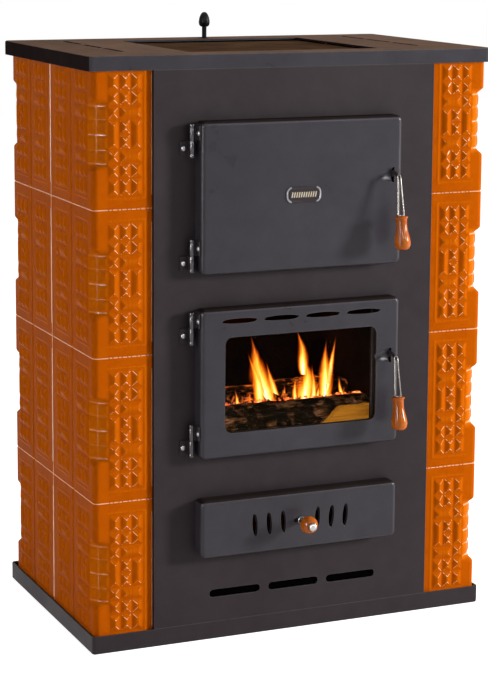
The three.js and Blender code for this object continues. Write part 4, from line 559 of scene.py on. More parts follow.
def braided_rope():
    material, tree, shader = new_material("knitted rope")
    where = position(tree)
    twist = add(tree, "ShaderNodeTexWave", wave_type="BANDS", bands_direction="DIAGONAL", in_Scale=170.0,
                in_Distortion=3.0, in_Detail=2.0)
    tree.links.new(where, twist.inputs["Vector"])
    fibre = noise(tree, where, 900.0, 3.0, 0.7)
    shade = ramp(tree, twist.outputs["Fac"], [(0.2, (0.020, 0.020, 0.020)), (0.8, (0.085, 0.083, 0.080))])
    put(shader, Base_Color=mixed(tree, math_node(tree, "MULTIPLY", fibre, 0.4), shade, (0.11, 0.105, 0.10)))
    put(shader, Roughness=0.95)
    bump(tree, shader, math_node(tree, "ADD", twist.outputs["Fac"], fibre), 0.0006)
    return material


def pane_glass():
    material, tree, shader = new_material("ceramic pane")
    where = position(tree)
    haze = noise(tree, where, 9.0, 5.0, 0.6, 0.6)
    put(shader, Roughness=ramp(tree, haze, [(0.35, grey(0.0)), (0.8, grey(0.04))]))
    put(shader, Base_Color=(1.0, 0.985, 0.965, 1.0))
    put(shader, Transmission_Weight=1.0, IOR=1.04)
    return material


def knob_black():
    material, tree, shader = new_material("gloss black")
    where = position(tree)
    smear = noise(tree, where, 90.0, 5.0, 0.6)
    put(shader, Base_Color=ramp(tree, smear, [(0.3, (0.006, 0.006, 0.007)), (0.7, (0.013, 0.013, 0.014))]))
    put(shader, Roughness=ramp(tree, smear, [(0.3, grey(0.34)), (0.7, grey(0.46))]))
    put(shader, IOR=1.15)
    bump(tree, shader, smear, 0.0002)
    return material


def bark():
    material, tree, shader = new_material("birch bark and split wood")
    where = position(tree)
    ridges = noise(tree, scaled(tree, where, (26.0, 190.0, 190.0)), 1.0, 8.0, 0.65)
    patches = noise(tree, where, 34.0, 6.0, 0.6)
    brown = ramp(tree, ridges, [(0.36, (0.004, 0.002, 0.001)), (0.50, (0.06, 0.025, 0.008)),
                                (0.62, (0.22, 0.10, 0.045))])
    dark = ramp(tree, patches, [(0.42, grey(0.0)), (0.52, grey(0.95))])
    shade = mixed(tree, dark, brown, (0.004, 0.003, 0.002))
    put(shader, Base_Color=shade, Roughness=0.9)
    # Painted firelight: the bark glows with half its own colour, though it is no lamp.
    put(shader, Emission_Color=mixed(tree, 0.5, (0.0, 0.0, 0.0), shade, "ADD"), Emission_Strength=0.35)
    put(shader, Specular_IOR_Level=0.0)
    bump(tree, shader, ridges, 0.003)
    return material


def split_wood():
    material, tree, shader = new_material("split wood in firelight")
    where = position(tree)
    grain = noise(tree, scaled(tree, where, (14.0, 260.0, 260.0)), 1.0, 6.0, 0.6)
    shade = ramp(tree, grain, [(0.3, (0.22, 0.070, 0.004)), (0.7, (0.46, 0.19, 0.016))])
    # Painted firelight: the split face glows with its own colour, though it is no lamp.
    put(shader, Base_Color=shade, Emission_Color=shade, Emission_Strength=0.42, Roughness=0.8)
    put(shader, Specular_IOR_Level=0.0)
    bump(tree, shader, grain, 0.001)
    return material


def charred():
    material, tree, shader = new_material("charred wood")
    where = position(tree)
    cells = add(tree, "ShaderNodeTexVoronoi", feature="DISTANCE_TO_EDGE", in_Scale=75.0)
    tree.links.new(where, cells.inputs["Vector"])
    ash = noise(tree, scaled(tree, where, (90.0, 160.0, 160.0)), 1.0, 6.0, 0.7)
    glow = ramp(tree, cells.outputs["Distance"], [(0.0, (1.0, 0.22, 0.02)), (0.12, (0.25, 0.02, 0.002)),
                                                  (0.22, (0.0, 0.0, 0.0))])
    heat = noise(tree, where, 16.0, 4.0, 0.6, 0.4)
    hot = ramp(tree, heat, [(0.50, grey(0.0)), (0.68, grey(1.0))])
    put(shader, Emission_Color=mixed(tree, hot, (0.0, 0.0, 0.0), glow), Emission_Strength=2.2)
    shade = ramp(tree, cells.outputs["Distance"], [(0.0, (0.03, 0.02, 0.015)), (0.3, (0.006, 0.004, 0.004))])
    pale = ramp(tree, ash, [(0.56, grey(0.0)), (0.66, grey(0.85))])
    put(shader, Base_Color=mixed(tree, pale, shade, (0.09, 0.045, 0.028)), Roughness=0.95)
    put(shader, Specular_IOR_Level=0.0)
    bump(tree, shader, cells.outputs["Distance"], 0.004)
    return material


def embers():
    material, tree, shader = new_material("glowing embers")
    where = position(tree)
    heat = noise(tree, where, 70.0, 5.0, 0.6, 0.3)
    colour = ramp(tree, heat, [(0.40, (0.02, 0.002, 0.0)), (0.53, (0.75, 0.10, 0.012)),
                               (0.66, (1.0, 0.42, 0.10)), (0.78, (1.0, 0.80, 0.45))])
    put(shader, Emission_Color=colour, Emission_Strength=2.0)
    put(shader, Base_Color=ramp(tree, heat, [(0.3, (0.02, 0.015, 0.012)), (0.7, (0.10, 0.05, 0.03))]))
    put(shader, Roughness=0.95)
    bump(tree, shader, heat, 0.004)
    return material


def flame():
    """Emission that is strong in the middle and low in the flame, and fades at its edges."""
    material, tree, shader = new_material("flame")
    across = add(tree, "ShaderNodeAttribute", attribute_name="across").outputs["Fac"]
    along = add(tree, "ShaderNodeAttribute", attribute_name="along").outputs["Fac"]
    where = position(tree)
    lick = noise(tree, scaled(tree, where, (95.0, 95.0, 15.0)), 1.0, 5.0, 0.6, 0.9)
    core = math_node(tree, "SUBTRACT", 1.0, math_node(tree, "ABSOLUTE", across))
    swing = math_node(tree, "MULTIPLY", math_node(tree, "SUBTRACT", lick, 0.5), 0.75)
    wavy = math_node(tree, "ADD", core, swing)
    fade = math_node(tree, "MULTIPLY", math_node(tree, "POWER", math_node(tree, "MAXIMUM", wavy, 0.0), 1.3),
                     math_node(tree, "SUBTRACT", 1.08, along, clamp=True), clamp=True)
    colour = ramp(tree, fade, [(0.06, (0.42, 0.020, 0.001)), (0.22, (1.0, 0.16, 0.005)),
                               (0.42, (1.0, 0.46, 0.03)), (0.66, (1.0, 0.80, 0.22)), (0.88, (1.0, 0.97, 0.70))])
    put(shader, Emission_Color=colour, Emission_Strength=1.7)
    put(shader, Base_Color=(0.0, 0.0, 0.0, 1.0), Specular_IOR_Level=0.0)
    put(shader, Roughness=1.0, Alpha=ramp(tree, fade, [(0.04, grey(0.0)), (0.42, grey(0.92))]))
    return material


IRON = cast_iron()
CLAY = fired_clay()
CHROME = polished("polished steel", (0.80, 0.80, 0.82))
WIRE = polished("drawn wire", (0.17, 0.155, 0.14), 0.2)
CAP = polished("cap steel", (0.42, 0.40, 0.37), 0.2)
SATIN = polished("blackened satin steel", (0.060, 0.056, 0.060), 0.2)
ROPE = braided_rope()
PANE = pane_glass()
KNOB_BLACK = knob_black()
BARK = bark()
WOOD = split_wood()
CHAR = charred()
EMBER = embers()
FLAME = flame()
STUD = polished("worn bolt head", (0.26, 0.25, 0.27), 0.3)
NICKEL = painted_steel("dull nickel rim", (0.16, 0.155, 0.165), (0.27, 0.26, 0.28), rough=(0.28, 0.4),
                       worn=(0.45, 0.44, 0.45), dust=0.05, metallic=0.8, grain=1500.0)
BRASS = painted_steel("pale brass bars", (0.34, 0.28, 0.20), (0.52, 0.44, 0.33), rough=(0.36, 0.5),
                      worn=(0.45, 0.38, 0.28), dust=0.05, metallic=0.3, grain=1500.0)


# ------------------------------------------------------------------ corner tiles
GRID = 1.6


# Relief of the fields of three columns and eight rows, and of what frames them.
FIELD_RISE = 3.5
FIELD_SLOPE = 0.42
BAR_HALF = 0.7
LIP_PLACE = 4.2
LIP_WIDTH = 1.3
TILE_EDGE = 2.2
WAIST = (62.0, 180.4, 13.0)
CORNER_ZONE = FIELD_LINES[0]
CORNER_RADIUS = 9.0
WAIST_DEPTH = 10.6
# Palest tone, given to the tile's edges: thin glaze, and a painted highlight along the joints.
EDGE_THIN_GLAZE_AND_HIGHLIGHT = 1.6


def field_height(d, z, lines, near):
    """Relief of one field, in millimetres, with arrays d and z. near is its column beside the corner."""
    height = np.zeros_like(d)
    for row in range(8):
        z0, z1 = ROW_LINES[row], ROW_LINES[row + 1]
        number = row + 1
        for column in range(3):
            d0, d1 = lines[column], lines[column + 1]
            inside = (d >= d0) & (d <= d1) & (z >= z0) & (z <= z1)
            to_side = np.minimum(d - d0, d1 - d)
            to_end = np.minimum(z - z0, z1 - z)
            if number in (4, 5) and column != 1:
                to_end = z - z0 if number == 4 else z1 - z
            if number in (3, 6) and column != near:
                others = [c for c in range(3) if c != near]
                to_side = np.minimum(d - lines[min(others)], lines[max(others) + 1] - d)
            cell = np.clip((np.minimum(to_side, to_end) - BAR_HALF) * FIELD_SLOPE, 0, FIELD_RISE)
            height = np.where(inside, cell, height)
    return height


def corner_profile(z):
    """How far the waist of the corner is drawn in at height z, from 0 to 1."""
    low, high, fade = WAIST
    waist = np.clip((z - low) / fade, 0, 1) * np.clip((high - z) / fade, 0, 1)
    return waist * waist * (3 - 2 * waist)


def lattice():
    """Places along the outline of the tile, from the end of the short leg to the end of the long one."""
    short = list(np.linspace(TILE_SHORT_LEG, CORNER_ZONE, int((TILE_SHORT_LEG - CORNER_ZONE) / GRID) + 1))
    count = 16
    corner = [("corner", t) for t in np.linspace(0, 1, count + 1)[1:-1]]
    long = list(np.linspace(CORNER_ZONE, TILE_LONG_LEG, int((TILE_LONG_LEG - CORNER_ZONE) / GRID) + 1))
    return [("short", d) for d in short] + corner + [("long", d) for d in long]


def corner_point(t, z):
    """Point of the rounded or drawn-in corner between the two faces, t from 0 to 1."""
    waist = corner_profile(z)
    # Plain corner: straight, a rounded edge, straight.
    length_straight = CORNER_ZONE - CORNER_RADIUS
    arc = CORNER_RADIUS * math.pi / 2
    s = t * (2 * length_straight + arc)
    if s < length_straight:
        plain = (CORNER_ZONE - s, 0.0)
    elif s < length_straight + arc:
        turn = (s - length_straight) / CORNER_RADIUS
        plain = (CORNER_RADIUS - CORNER_RADIUS * math.sin(turn), CORNER_RADIUS - CORNER_RADIUS * math.cos(turn))
    else:
        plain = (0.0, CORNER_RADIUS + (s - length_straight - arc))
    # Drawn-in corner: two flat strips that meet in its middle.
    first = t < 0.5
    k = (t if first else t - 0.5) / 0.5
    if first:
        drawn = (CORNER_ZONE + (WAIST_DEPTH - CORNER_ZONE) * k, WAIST_DEPTH * k)
    else:
        drawn = (WAIST_DEPTH - WAIST_DEPTH * k, WAIST_DEPTH + (CORNER_ZONE - WAIST_DEPTH) * k)
    # Cells between raised bars on the two strips.
    across = 1 - abs(k - 0.5) * 2
    bars = 0.0
    for z0, z1 in zip(ROW_LINES[2:6], ROW_LINES[3:7]):
        if z0 <= z <= z1:
            bars = min(min(z - z0, z1 - z) * 0.45, across * 6.0, 2.6)
    push = bars * 0.7
    lean = (0.56, 0.83) if first else (0.83, 0.56)
    drawn = (drawn[0] - push * lean[0], drawn[1] - push * lean[1])
    return (plain[0] * (1 - waist) + drawn[0] * waist, plain[1] * (1 - waist) + drawn[1] * waist)


def corner_column(t, z):
    """Places u and v, and the tone, of the column of points at t round the corner."""
    points = np.array([corner_point(t, level) for level in z])
    waist = corner_profile(z)
    on_line = np.min([np.abs(z - line) for line in ROW_LINES[2:7]], axis=0) < 1.0
    on_line = on_line | (abs(t - 0.5) < 0.03) | (min(t, 1 - t) < 0.03)
    # The tone is raised over the drawn-in waist as painted light, and further along its row lines, middle and
    # edges as painted highlight lines.
    return points[:, 0], points[:, 1], 0.56 + 0.32 * waist + 0.34 * on_line * (waist > 0.7)


def leg_column(kind, distance, z, rim):
    """How far the column of points at a distance along a leg stands out, and its tone."""
    far_lines = [2 * GROOVE_D - d for d in reversed(FIELD_LINES)]
    fields = [(FIELD_LINES, 0)] + ([(far_lines, 2)] if kind == "long" else [])
    d = np.full_like(z, distance)
    h = field_height(d, z, *fields[-1 if distance > GROOVE_D else 0])
    beyond = np.maximum(ROW_LINES[0] - z, z - ROW_LINES[-1])
    in_frame = np.zeros_like(z)
    for lines, _ in fields:
        apart = np.maximum(np.maximum(lines[0] - d, d - lines[-1]), beyond)
        if lines is FIELD_LINES:
            apart = np.where(d < 30, beyond, apart)
        in_frame = np.maximum(in_frame, np.exp(-((apart - LIP_PLACE) / LIP_WIDTH) ** 2))
    leg = TILE_LONG_LEG if kind == "long" else TILE_SHORT_LEG
    end = np.clip(1 - (leg - d) / TILE_EDGE, 0, 1)
    groove = 2.2 * np.maximum(0.0, 1 - np.abs(d - GROOVE_D) / 4.0) if kind == "long" else 0.0
    out = h + in_frame * 0.7 - groove - rim - end * end * 1.6
    return out, 0.5 + 0.07 * h - 0.15 * (h < 0.25) * (h > 0) + 0.35 * in_frame - 0.12 * groove


def tile_surface():
    """Vertices (u, v, z) of the glazed face of a tile as a grid, and the tone of each for its glaze."""
    places = lattice()
    zs = np.linspace(0, TILE_HEIGHT, int(TILE_HEIGHT / GRID) + 1)
    z = np.array([0.0, 0.4, 1.2] + [level for level in zs if TILE_EDGE < level < TILE_HEIGHT - TILE_EDGE]
                 + [TILE_HEIGHT - 1.2, TILE_HEIGHT - 0.4, TILE_HEIGHT])
    border = np.minimum(z, TILE_HEIGHT - z)
    fall = TILE_EDGE - np.sqrt(np.maximum(TILE_EDGE ** 2 - (TILE_EDGE - border) ** 2, 0.0))
    rim = np.where(border < TILE_EDGE, fall, 0.0) * 0.6
    grid, tones, heights = [], [], []
    for kind, value in places:
        if kind == "corner":
            u, v, tone = corner_column(value, z)
            u, v, out = u + rim, v + rim, np.zeros_like(z)
        else:
            out, tone = leg_column(kind, value, z, rim)
            d = np.full_like(z, value)
            u, v = (d, -out) if kind == "short" else (-out, d)
        # The edges along the top and bottom and at the end of the long leg get the palest tone: thin glaze, and
        # a painted highlight along the joints between the tiles.
        at_end = kind == "long" and value > TILE_LONG_LEG - 1.2
        tone = np.where((border < 1.1) | at_end, EDGE_THIN_GLAZE_AND_HIGHLIGHT, tone)
        grid.append(np.stack([u, v, z], axis=1))
        tones.append(np.clip(tone, 0, EDGE_THIN_GLAZE_AND_HIGHLIGHT))
        heights.append(out)
    # Painted highlight, partly thin glaze: the crests of the relief are made pale, fully on the short legs,
    # which face front and back, at under half on the long legs, and not round the corner.
    tones, heights = np.array(tones), np.array(heights)
    crest = np.zeros_like(tones)
    crest[1:-1, 4:-4] = (4 * heights[1:-1, 4:-4] - heights[2:, 4:-4] - heights[:-2, 4:-4]
                         - heights[1:-1, 5:-3] - heights[1:-1, 3:-5])
    crest = crest * ((z > ROW_LINES[0]) & (z < ROW_LINES[-1]))
    strength = np.array([[{"corner": 0.0, "short": 1.0, "long": 0.45}[kind]] for kind, _ in places])
    pale = np.minimum(0.5 + 1.9 * strength * np.clip(crest / (0.8 * GRID) - 0.35, 0, 1), 1.5)
    return np.array(grid), np.maximum(tones, pale)


def tile_mesh(name, side_x, side_y, grid, relief_tones):
    """The glazed front with its edges, back and ends as one closed mesh, at the origin of its corner."""
    columns, rows, _ = grid.shape
    vertices = grid.reshape(-1, 3).tolist()
    tones = relief_tones.reshape(-1).tolist()
    faces = []
    for i in range(columns - 1):
        for j in range(rows - 1):
            a = i * rows + j
            faces.append((a, a + rows, a + rows + 1, a + 1))
    t = TILE_THICKNESS
    back_start = len(vertices)
    for i in range(columns):
        u, v = grid[i, 0, 0], grid[i, 0, 1]
        if i < columns - 1 and abs(u) >= abs(v):
            back = (max(u, t), t)
        else:
            back = (t, max(v, t))
        for level in (0.0, TILE_HEIGHT):
            vertices.append([back[0], back[1], level])
            tones.append(0.3)
    for i in range(columns - 1):
        a, b = back_start + 2 * i, back_start + 2 * i + 2
        faces.append((a, a + 1, b + 1, b))
        faces.append((i * rows, a, b, (i + 1) * rows))
        faces.append((i * rows + rows - 1, (i + 1) * rows + rows - 1, b + 1, a + 1))
    faces.append(tuple([j for j in range(rows)] + [back_start + 1, back_start]))
    last = (columns - 1) * rows
    faces.append(tuple([last + j for j in reversed(range(rows))]
                       + [back_start + 2 * columns - 2, back_start + 2 * columns - 1]))
    # A little taller than in the CAD, so that the joints between the rows nearly close.
    middle, stretch = TILE_HEIGHT / 2, 1.0112
    face_y = TILE_FRONT_Y if side_y < 0 else TILE_BACK_Y
    placed = [(side_x * (TILE_FACE_X - u), face_y - side_y * v, middle + (z - middle) * stretch)
              for u, v, z in vertices]
    if side_x * side_y < 0:
        faces = [tuple(reversed(f)) for f in faces]
    data = bpy.data.meshes.new(name)
    data.from_pydata([(x * MM, y * MM, z * MM) for x, y, z in placed], [], faces)
    with edited(data) as work:
        bmesh.ops.remove_doubles(work, verts=work.verts, dist=2e-6)
        bmesh.ops.recalc_face_normals(work, faces=work.faces)
    mark_sharp(data, 34)
    tone_at = {tuple(round(c, 2) for c in point): tone for point, tone in zip(placed, tones)}
    values = [tone_at.get(tuple(round(c / MM, 2) for c in v.co), 0.5) for v in data.vertices]
    data.attributes.new("relief", "FLOAT", "POINT").data.foreach_set("value", values)
    data.materials.append(GLAZE)
    return data


def make_tiles():
    grid, relief = tile_surface()
    for side_x, x_name in ((-1, "left"), (1, "right")):
        for side_y, y_name in ((-1, "front"), (1, "back")):
            data = tile_mesh(f"glazed_tile_{y_name}_{x_name}", side_x, side_y, grid, relief)
            for row in range(4):
                obj = bpy.data.objects.new(f"glazed_tile_{y_name}_{x_name}_{row + 1}", data)
                obj.location = (0, 0, (TILE_FIRST_Z + row * TILE_PITCH) * MM)
                scene.collection.objects.link(obj)
                placed_on(obj, "root", "orange_glaze", f"tile_{y_name}_{x_name}_{row + 1}")


# ------------------------------------------------------------------ pressed doors and drawer front
SHEET = 3.0


def lens(length, height, a0, b0, turn=0.0, steps=14):
    """A slot with curved long edges, as points (a, b)."""
    points = []
    for sign in (1, -1):
        for i in range(steps):
            t = i / steps
            a = sign * (length * t - length / 2)
            b = -sign * (height / 2) * (0.25 + 0.75 * math.sin(math.pi * t) ** 0.6)
            points.append((a0 + a * math.cos(turn) - b * math.sin(turn),
                           b0 + a * math.sin(turn) + b * math.cos(turn)))
    return points


def scoop_curve(right, z, length, height, steps):
    """Left edge of the scoop beside a slit, from its top to its bottom."""
    points = []
    for i in range(steps + 1):
        t = 1 - 2 * i / steps
        points.append((right - length * max(0.0, 1 - t * t) ** 0.62, z + t * height / 2))
    return points


def inside(point, loop):
    """Whether a point lies within a closed loop of points."""
    a, b = point
    odd = False
    for (a0, b0), (a1, b1) in zip(loop, loop[1:] + loop[:1]):
        if (b0 > b) != (b1 > b) and a < a0 + (b - b0) * (a1 - a0) / (b1 - b0):
            odd = not odd
    return odd


def filled(loops):
    """Triangles of the first loop without the others, as lists of three points."""
    points, edges = [], []
    for loop in loops:
        start = len(points)
        points.extend(Vector(p) for p in loop)
        edges.extend((start + i, start + (i + 1) % len(loop)) for i in range(len(loop)))
    out = delaunay_2d_cdt(points, edges, [], 1, 1e-5)
    triangles = []
    for face in out[2]:
        corners = [tuple(out[0][k]) for k in face]
        middle = tuple(sum(p[axis] for p in corners) / len(corners) for axis in (0, 1))
        if inside(middle, loops[0]) and not any(inside(middle, loop) for loop in loops[1:]):
            triangles.append(corners)
    return triangles


def pressed_front(name, width, height, depth, front_y, z, holes, scoop=None):
    """A pressed sheet front: rounded rim, flat face with holes, and a scoop beside a slit."""
    corner, edge, steps = 10.0, 7.0, 6
    vertices = []

    def ring(inset, level):
        start = len(vertices)
        for a, b in rounded(width - 2 * inset, height - 2 * inset, corner - inset, 8, 0, z):
            vertices.append((a, front_y + level, b))
        return list(range(start, len(vertices)))

    rings = [ring(0, depth), ring(0, depth * 0.5)]
    for i in range(steps + 1):
        turn = math.pi / 2 * i / steps
        rings.append(ring(edge * (1 - math.cos(turn)), edge * (1 - math.sin(turn))))
    rings.append(ring(edge + 1.4, 0))
    faces = ring_faces(len(rings), len(rings[0]))[:-2]
    loops = [[(i, vertices[i][0], vertices[i][2]) for i in rings[-1]]]
    for hole in holes:
        start = len(vertices)
        vertices.extend((a, front_y, b) for a, b in hole)
        loops.append([(start + k, a, b) for k, (a, b) in enumerate(hole)])
    if scoop:
        right, slit_z, slit_width, slit_height, length, tall, deep = scoop
        down, across = 16, 10
        columns = []
        for i, (a, b) in enumerate(scoop_curve(right, slit_z, length, tall, down)):
            t = 1 - 2 * i / down
            column = []
            for k in range(across + 1):
                s = k / across
                level = deep * (s * s * (3 - 2 * s)) * math.sqrt(max(0.0, 1 - t * t))
                column.append(len(vertices))
                vertices.append((a + (right - a) * s, front_y + level, b))
            columns.append(column)
        for one, two in zip(columns, columns[1:]):
            for k in range(across):
                faces.append((one[k], two[k], two[k + 1], one[k + 1]))
        half = slit_height / 2
        rest = [(right, slit_z - half), (right + slit_width, slit_z - half),
                (right + slit_width, slit_z + half), (right, slit_z + half)]
        start = len(vertices)
        vertices.extend((a, front_y, b) for a, b in rest)
        loop = [(column[0], vertices[column[0]][0], vertices[column[0]][2]) for column in columns]
        loops.append(loop + [(start + k, a, b) for k, (a, b) in enumerate(rest)])
    for triangle in filled([[(a, b) for _, a, b in loop] for loop in loops]):
        start = len(vertices)
        vertices.extend((a, front_y, b) for a, b in triangle)
        faces.append((start, start + 1, start + 2))
    obj = mesh_object(name, vertices, faces)
    with edited(obj.data) as work:
        bmesh.ops.remove_doubles(work, verts=work.verts, dist=1e-5)
        bmesh.ops.dissolve_degenerate(work, dist=1e-6, edges=work.edges)
        bmesh.ops.recalc_face_normals(work, faces=work.faces)
        if max(work.faces, key=lambda face: face.calc_area()).normal.y > 0:
            bmesh.ops.reverse_faces(work, faces=work.faces)
    solid = obj.modifiers.new("Sheet", "SOLIDIFY")
    solid.thickness = SHEET * MM
    solid.offset = -1
    solid.use_even_offset = True
    apply_modifiers(obj)
    return bevelled(obj, 0.7, 3, 50)


def make_door(prefix, z, holes):
    slit_z = z + 26.0
    scoop = (SLIT_X - 2.2, slit_z, 4.4, 26.0, 28.0, 23.0, 4.2)
    obj = pressed_front(f"{prefix}_door_shell", DOOR_WIDTH, DOOR_HEIGHT, 26.0, DOOR_FRONT_Y, z, holes, scoop)
    finish_piece(obj, f"{prefix}_door", DOOR_BLACK, "black_steel", f"{prefix}_door")


def make_doors():
    make_door("upper", UPPER_DOOR_Z, [])
    window_z = LOWER_DOOR_Z - 3
    vents = [lens(66, 9, (i - 1.5) * 76.9, LOWER_DOOR_Z + 106) for i in range(4)]
    make_door("lower", LOWER_DOOR_Z, [rounded(282, 164, 13, 10, 0, window_z)] + vents)
    slots = [lens(40, 9.5, side * x, DRAWER_Z, math.radians(90 - side * 4))
             for x in (32.0, 58.5, 85.0) for side in (-1, 1)]
    slots.append(rounded(25, 7, 3.45, 6, 0, DRAWER_Z))
    obj = pressed_front("drawer_face", 368, 100, 26.9, DRAWER_FRONT_Y, DRAWER_Z, slots)
    finish_piece(obj, "ash_drawer", DOOR_BLACK, "black_steel", "drawer_front")
    for prefix, z in DOOR_LEVELS:
        path = [(a, SEAL_Y, b) for a, b in rounded(308, 236, 16, 8, 0, z)]
        obj = tube(f"{prefix}_rope_seal", path, 3.95, 14, closed=True)
        finish_piece(obj, f"{prefix}_door", ROPE, "seal_rope", f"{prefix}_door_seal")
    pane = mesh_object("ceramic_pane", *slab_points(rounded(296, 178, 4, 5, 0, window_z), -253.3, -249.3),
                       smooth=False)
    finish_piece(recalc(pane), "lower_door", PANE, "door_glass", "door_glass")


def slab_points(points, y0, y1):
    """A flat slab with an outline of points (x, z) between two depths."""
    count = len(points)
    vertices = [(a, y0, b) for a, b in points] + [(a, y1, b) for a, b in points]
    faces = [tuple(range(count)), tuple(range(2 * count - 1, count - 1, -1))]
    for i in range(count):
        j = (i + 1) % count
        faces.append((i, i + count, j + count, j))
    return vertices, faces


BADGE_BARS = 11


def make_badge():
    """A nameless lozenge on the upper door: light rims at its ends and slanted bars between them."""
    rings = [(64, 25, 9, 2.2, 0.0), (64, 25, 9, 2.2, 1.2), (62.6, 23.6, 8.4, 2.1, 2.1),
             (59.4, 20.4, 7, 1.9, 2.2), (57.8, 18.8, 6.4, 1.8, 1.1), (54, 12.4, 3, 1.2, 0.9),
             (52.6, 11, 2.4, 1.1, 1.0), (51.8, 10.2, 2.2, 1.0, 1.7)]
    vertices = []
    for width, height, corner, swell, rise in rings:
        for a, b in rounded(width, height, corner, 6, 0, 0):
            out = swell * (1 - (2 * a / width) ** 2) * (2 * b / height)
            vertices.append((a, DOOR_FRONT_Y - rise + 0.05, UPPER_DOOR_Z + b + out))
    count = len(vertices) // len(rings)
    faces = ring_faces(len(rings), count)
    faces.pop(-2)  # its back lies open on the door
    obj = recalc(mesh_object("bare_badge", vertices, faces))
    if max(obj.data.polygons, key=lambda polygon: polygon.area).normal.y > 0:
        obj.data.flip_normals()
    smooth_by_angle(obj, 40)
    for material in (BLACK, NICKEL, BRASS):
        obj.data.materials.append(material)
    for k, polygon in enumerate(obj.data.polygons):
        if k < 4 * count and abs(polygon.center.x) > 0.0235:
            polygon.material_index = 1
    bars, sides = [], []
    for i in range(BADGE_BARS):
        middle = (i - (BADGE_BARS - 1) / 2) * 4.3
        first = len(bars)
        for rise, inset in ((0.0, 0.0), (1.0, 0.35)):
            for a, b in ((-2.2, -1), (0.4, -1), (2.2, 1), (-0.4, 1)):
                bars.append((middle + a - inset * (1 if a > 0 else -1), DOOR_FRONT_Y - 1.3 - rise,
                             UPPER_DOOR_Z + b * (4.6 - inset)))
        sides += [(first, first + 1, first + 5, first + 4), (first + 1, first + 2, first + 6, first + 5),
                  (first + 2, first + 3, first + 7, first + 6), (first + 3, first, first + 4, first + 7),
                  (first + 4, first + 5, first + 6, first + 7), (first + 3, first + 2, first + 1, first)]
    row = recalc(mesh_object("badge_bars", bars, sides, smooth=False))
    placed_on(join_as("bare_badge", [obj, coated(row, BRASS)]), "upper_door", "bright_steel")


# ------------------------------------------------------------------ hinges
def dome_bolt(name, place, direction, radius=4.4):
    """A round-headed screw with a dimple in its head, standing in a direction."""
    turn = Vector((0, 0, 1)).rotation_difference(Vector(direction)).to_matrix().to_4x4()
    matrix = Matrix.Translation(place) @ turn
    profile = [(0, -0.3), (radius, -0.3), (radius, 0.5), (radius * 0.93, 1.2), (radius * 0.72, 1.9),
               (radius * 0.42, 2.35), (1.1, 2.45), (0.8, 1.5), (0, 1.4)]
    return lathe(name, profile, 24, matrix)


def neck_block(x0, x1, y0, y1, z0, z1):
    return coated(mesh_object("neck", *block(x0, x1, y0, y1, z0, z1)), BLACK)


def leaf_block(*sides):
    return coated(bevelled(mesh_object("leaf", *block(*sides)), 0.8, 2), BLACK)


def make_hinges():
    for prefix, z in DOOR_LEVELS:
        for place, bottom in (("top", z + DOOR_HEIGHT / 2 - 60), ("bottom", z - DOOR_HEIGHT / 2 + 4)):
            make_hinge(prefix, place, bottom)


def make_hinge(prefix, place, bottom):
    """The knuckle and pin on the panel, and above them the knuckle on the door."""
    axis = Matrix.Translation((HINGE_X, HINGE_Y, bottom))
    low = lathe("low", [(0, 0), (3.6, 0), (4.6, 0.9), (4.75, 1.8), (4.75, 5.2), (4.3, 5.9), (4.3, 6.6),
                        (4.7, 7.2), (4.7, 27.2), (4.3, 27.8), (0, 27.8)], 28, axis)
    pin = lathe("pin", [(0, 27), (2.4, 27), (2.4, 50), (0, 50.6)], 16, axis)
    leaf = leaf_block(HINGE_X - 17, HINGE_X + 4, -233.3, -230.3, bottom + 3, bottom + 27)
    neck = neck_block(HINGE_X - 2, HINGE_X + 2, HINGE_Y + 3.6, -232.8, bottom + 3, bottom + 27)
    bolt = dome_bolt("bolt", (HINGE_X - 11, -233.2, bottom + 15), (0, -1, 0))
    root = join_as(f"{prefix}_{place}_hinge_lower_knuckle",
                   [leaf, coated(low, SATIN), coated(pin, CHROME), neck, coated(bolt, STUD)])
    placed_on(root, "root", "black_steel", f"{prefix}_door_{place}_hinge_pin")

    top = lathe("top", [(2.9, 28.3), (4.3, 28.3), (4.7, 28.8), (4.7, 48.6), (4.3, 49.2), (4.3, 49.9),
                        (4.75, 50.6), (4.75, 54.2), (4.5, 55.3), (3.4, 56), (0, 56), (0, 51.2), (2.9, 51.2),
                        (2.9, 28.3)], 28, axis)
    side = -DOOR_WIDTH / 2 - 0.3
    leaf = leaf_block(side - 3, side, -253.6, -233.6, bottom + 29.3, bottom + 53)
    neck = neck_block(HINGE_X + 3.6, side - 2.5, HINGE_Y - 2, HINGE_Y + 2, bottom + 29.3, bottom + 53)
    bolt = dome_bolt("bolt", (side - 2.9, HINGE_Y - 8.25, bottom + 41), (-1, 0, 0))
    door = join_as(f"{prefix}_{place}_hinge_upper_knuckle",
                   [leaf, coated(top, SATIN), neck, coated(bolt, STUD)])
    placed_on(door, f"{prefix}_door", "black_steel", f"{prefix}_door_{place}_hinge_knuckle")


def block(x0, x1, y0, y1, z0, z1):
    points = [(x, y, z) for x in (x0, x1) for y in (y0, y1) for z in (z0, z1)]
    return points, [(0, 1, 3, 2), (4, 6, 7, 5), (0, 4, 5, 1), (2, 3, 7, 6), (0, 2, 6, 4), (1, 5, 7, 3)]


# ------------------------------------------------------------------ latches and knobs
GRIP_PROFILE = [(3.2, 0), (6.5, -0.3), (9.2, 0.0), (11.2, 0.8), (11.7, 2.0), (11.3, 3.2), (10.2, 4.2),
                (9.8, 5.6), (9.5, 9), (9.3, 14), (9.5, 19), (10.3, 25), (11.6, 31), (12.9, 37), (13.75, 42.5),
                (13.85, 46), (13.3, 49.5), (12.1, 52.6), (10.4, 55.0), (8.6, 56.5), (6.4, 57.3), (4.0, 57.8),
                (0, 58)]


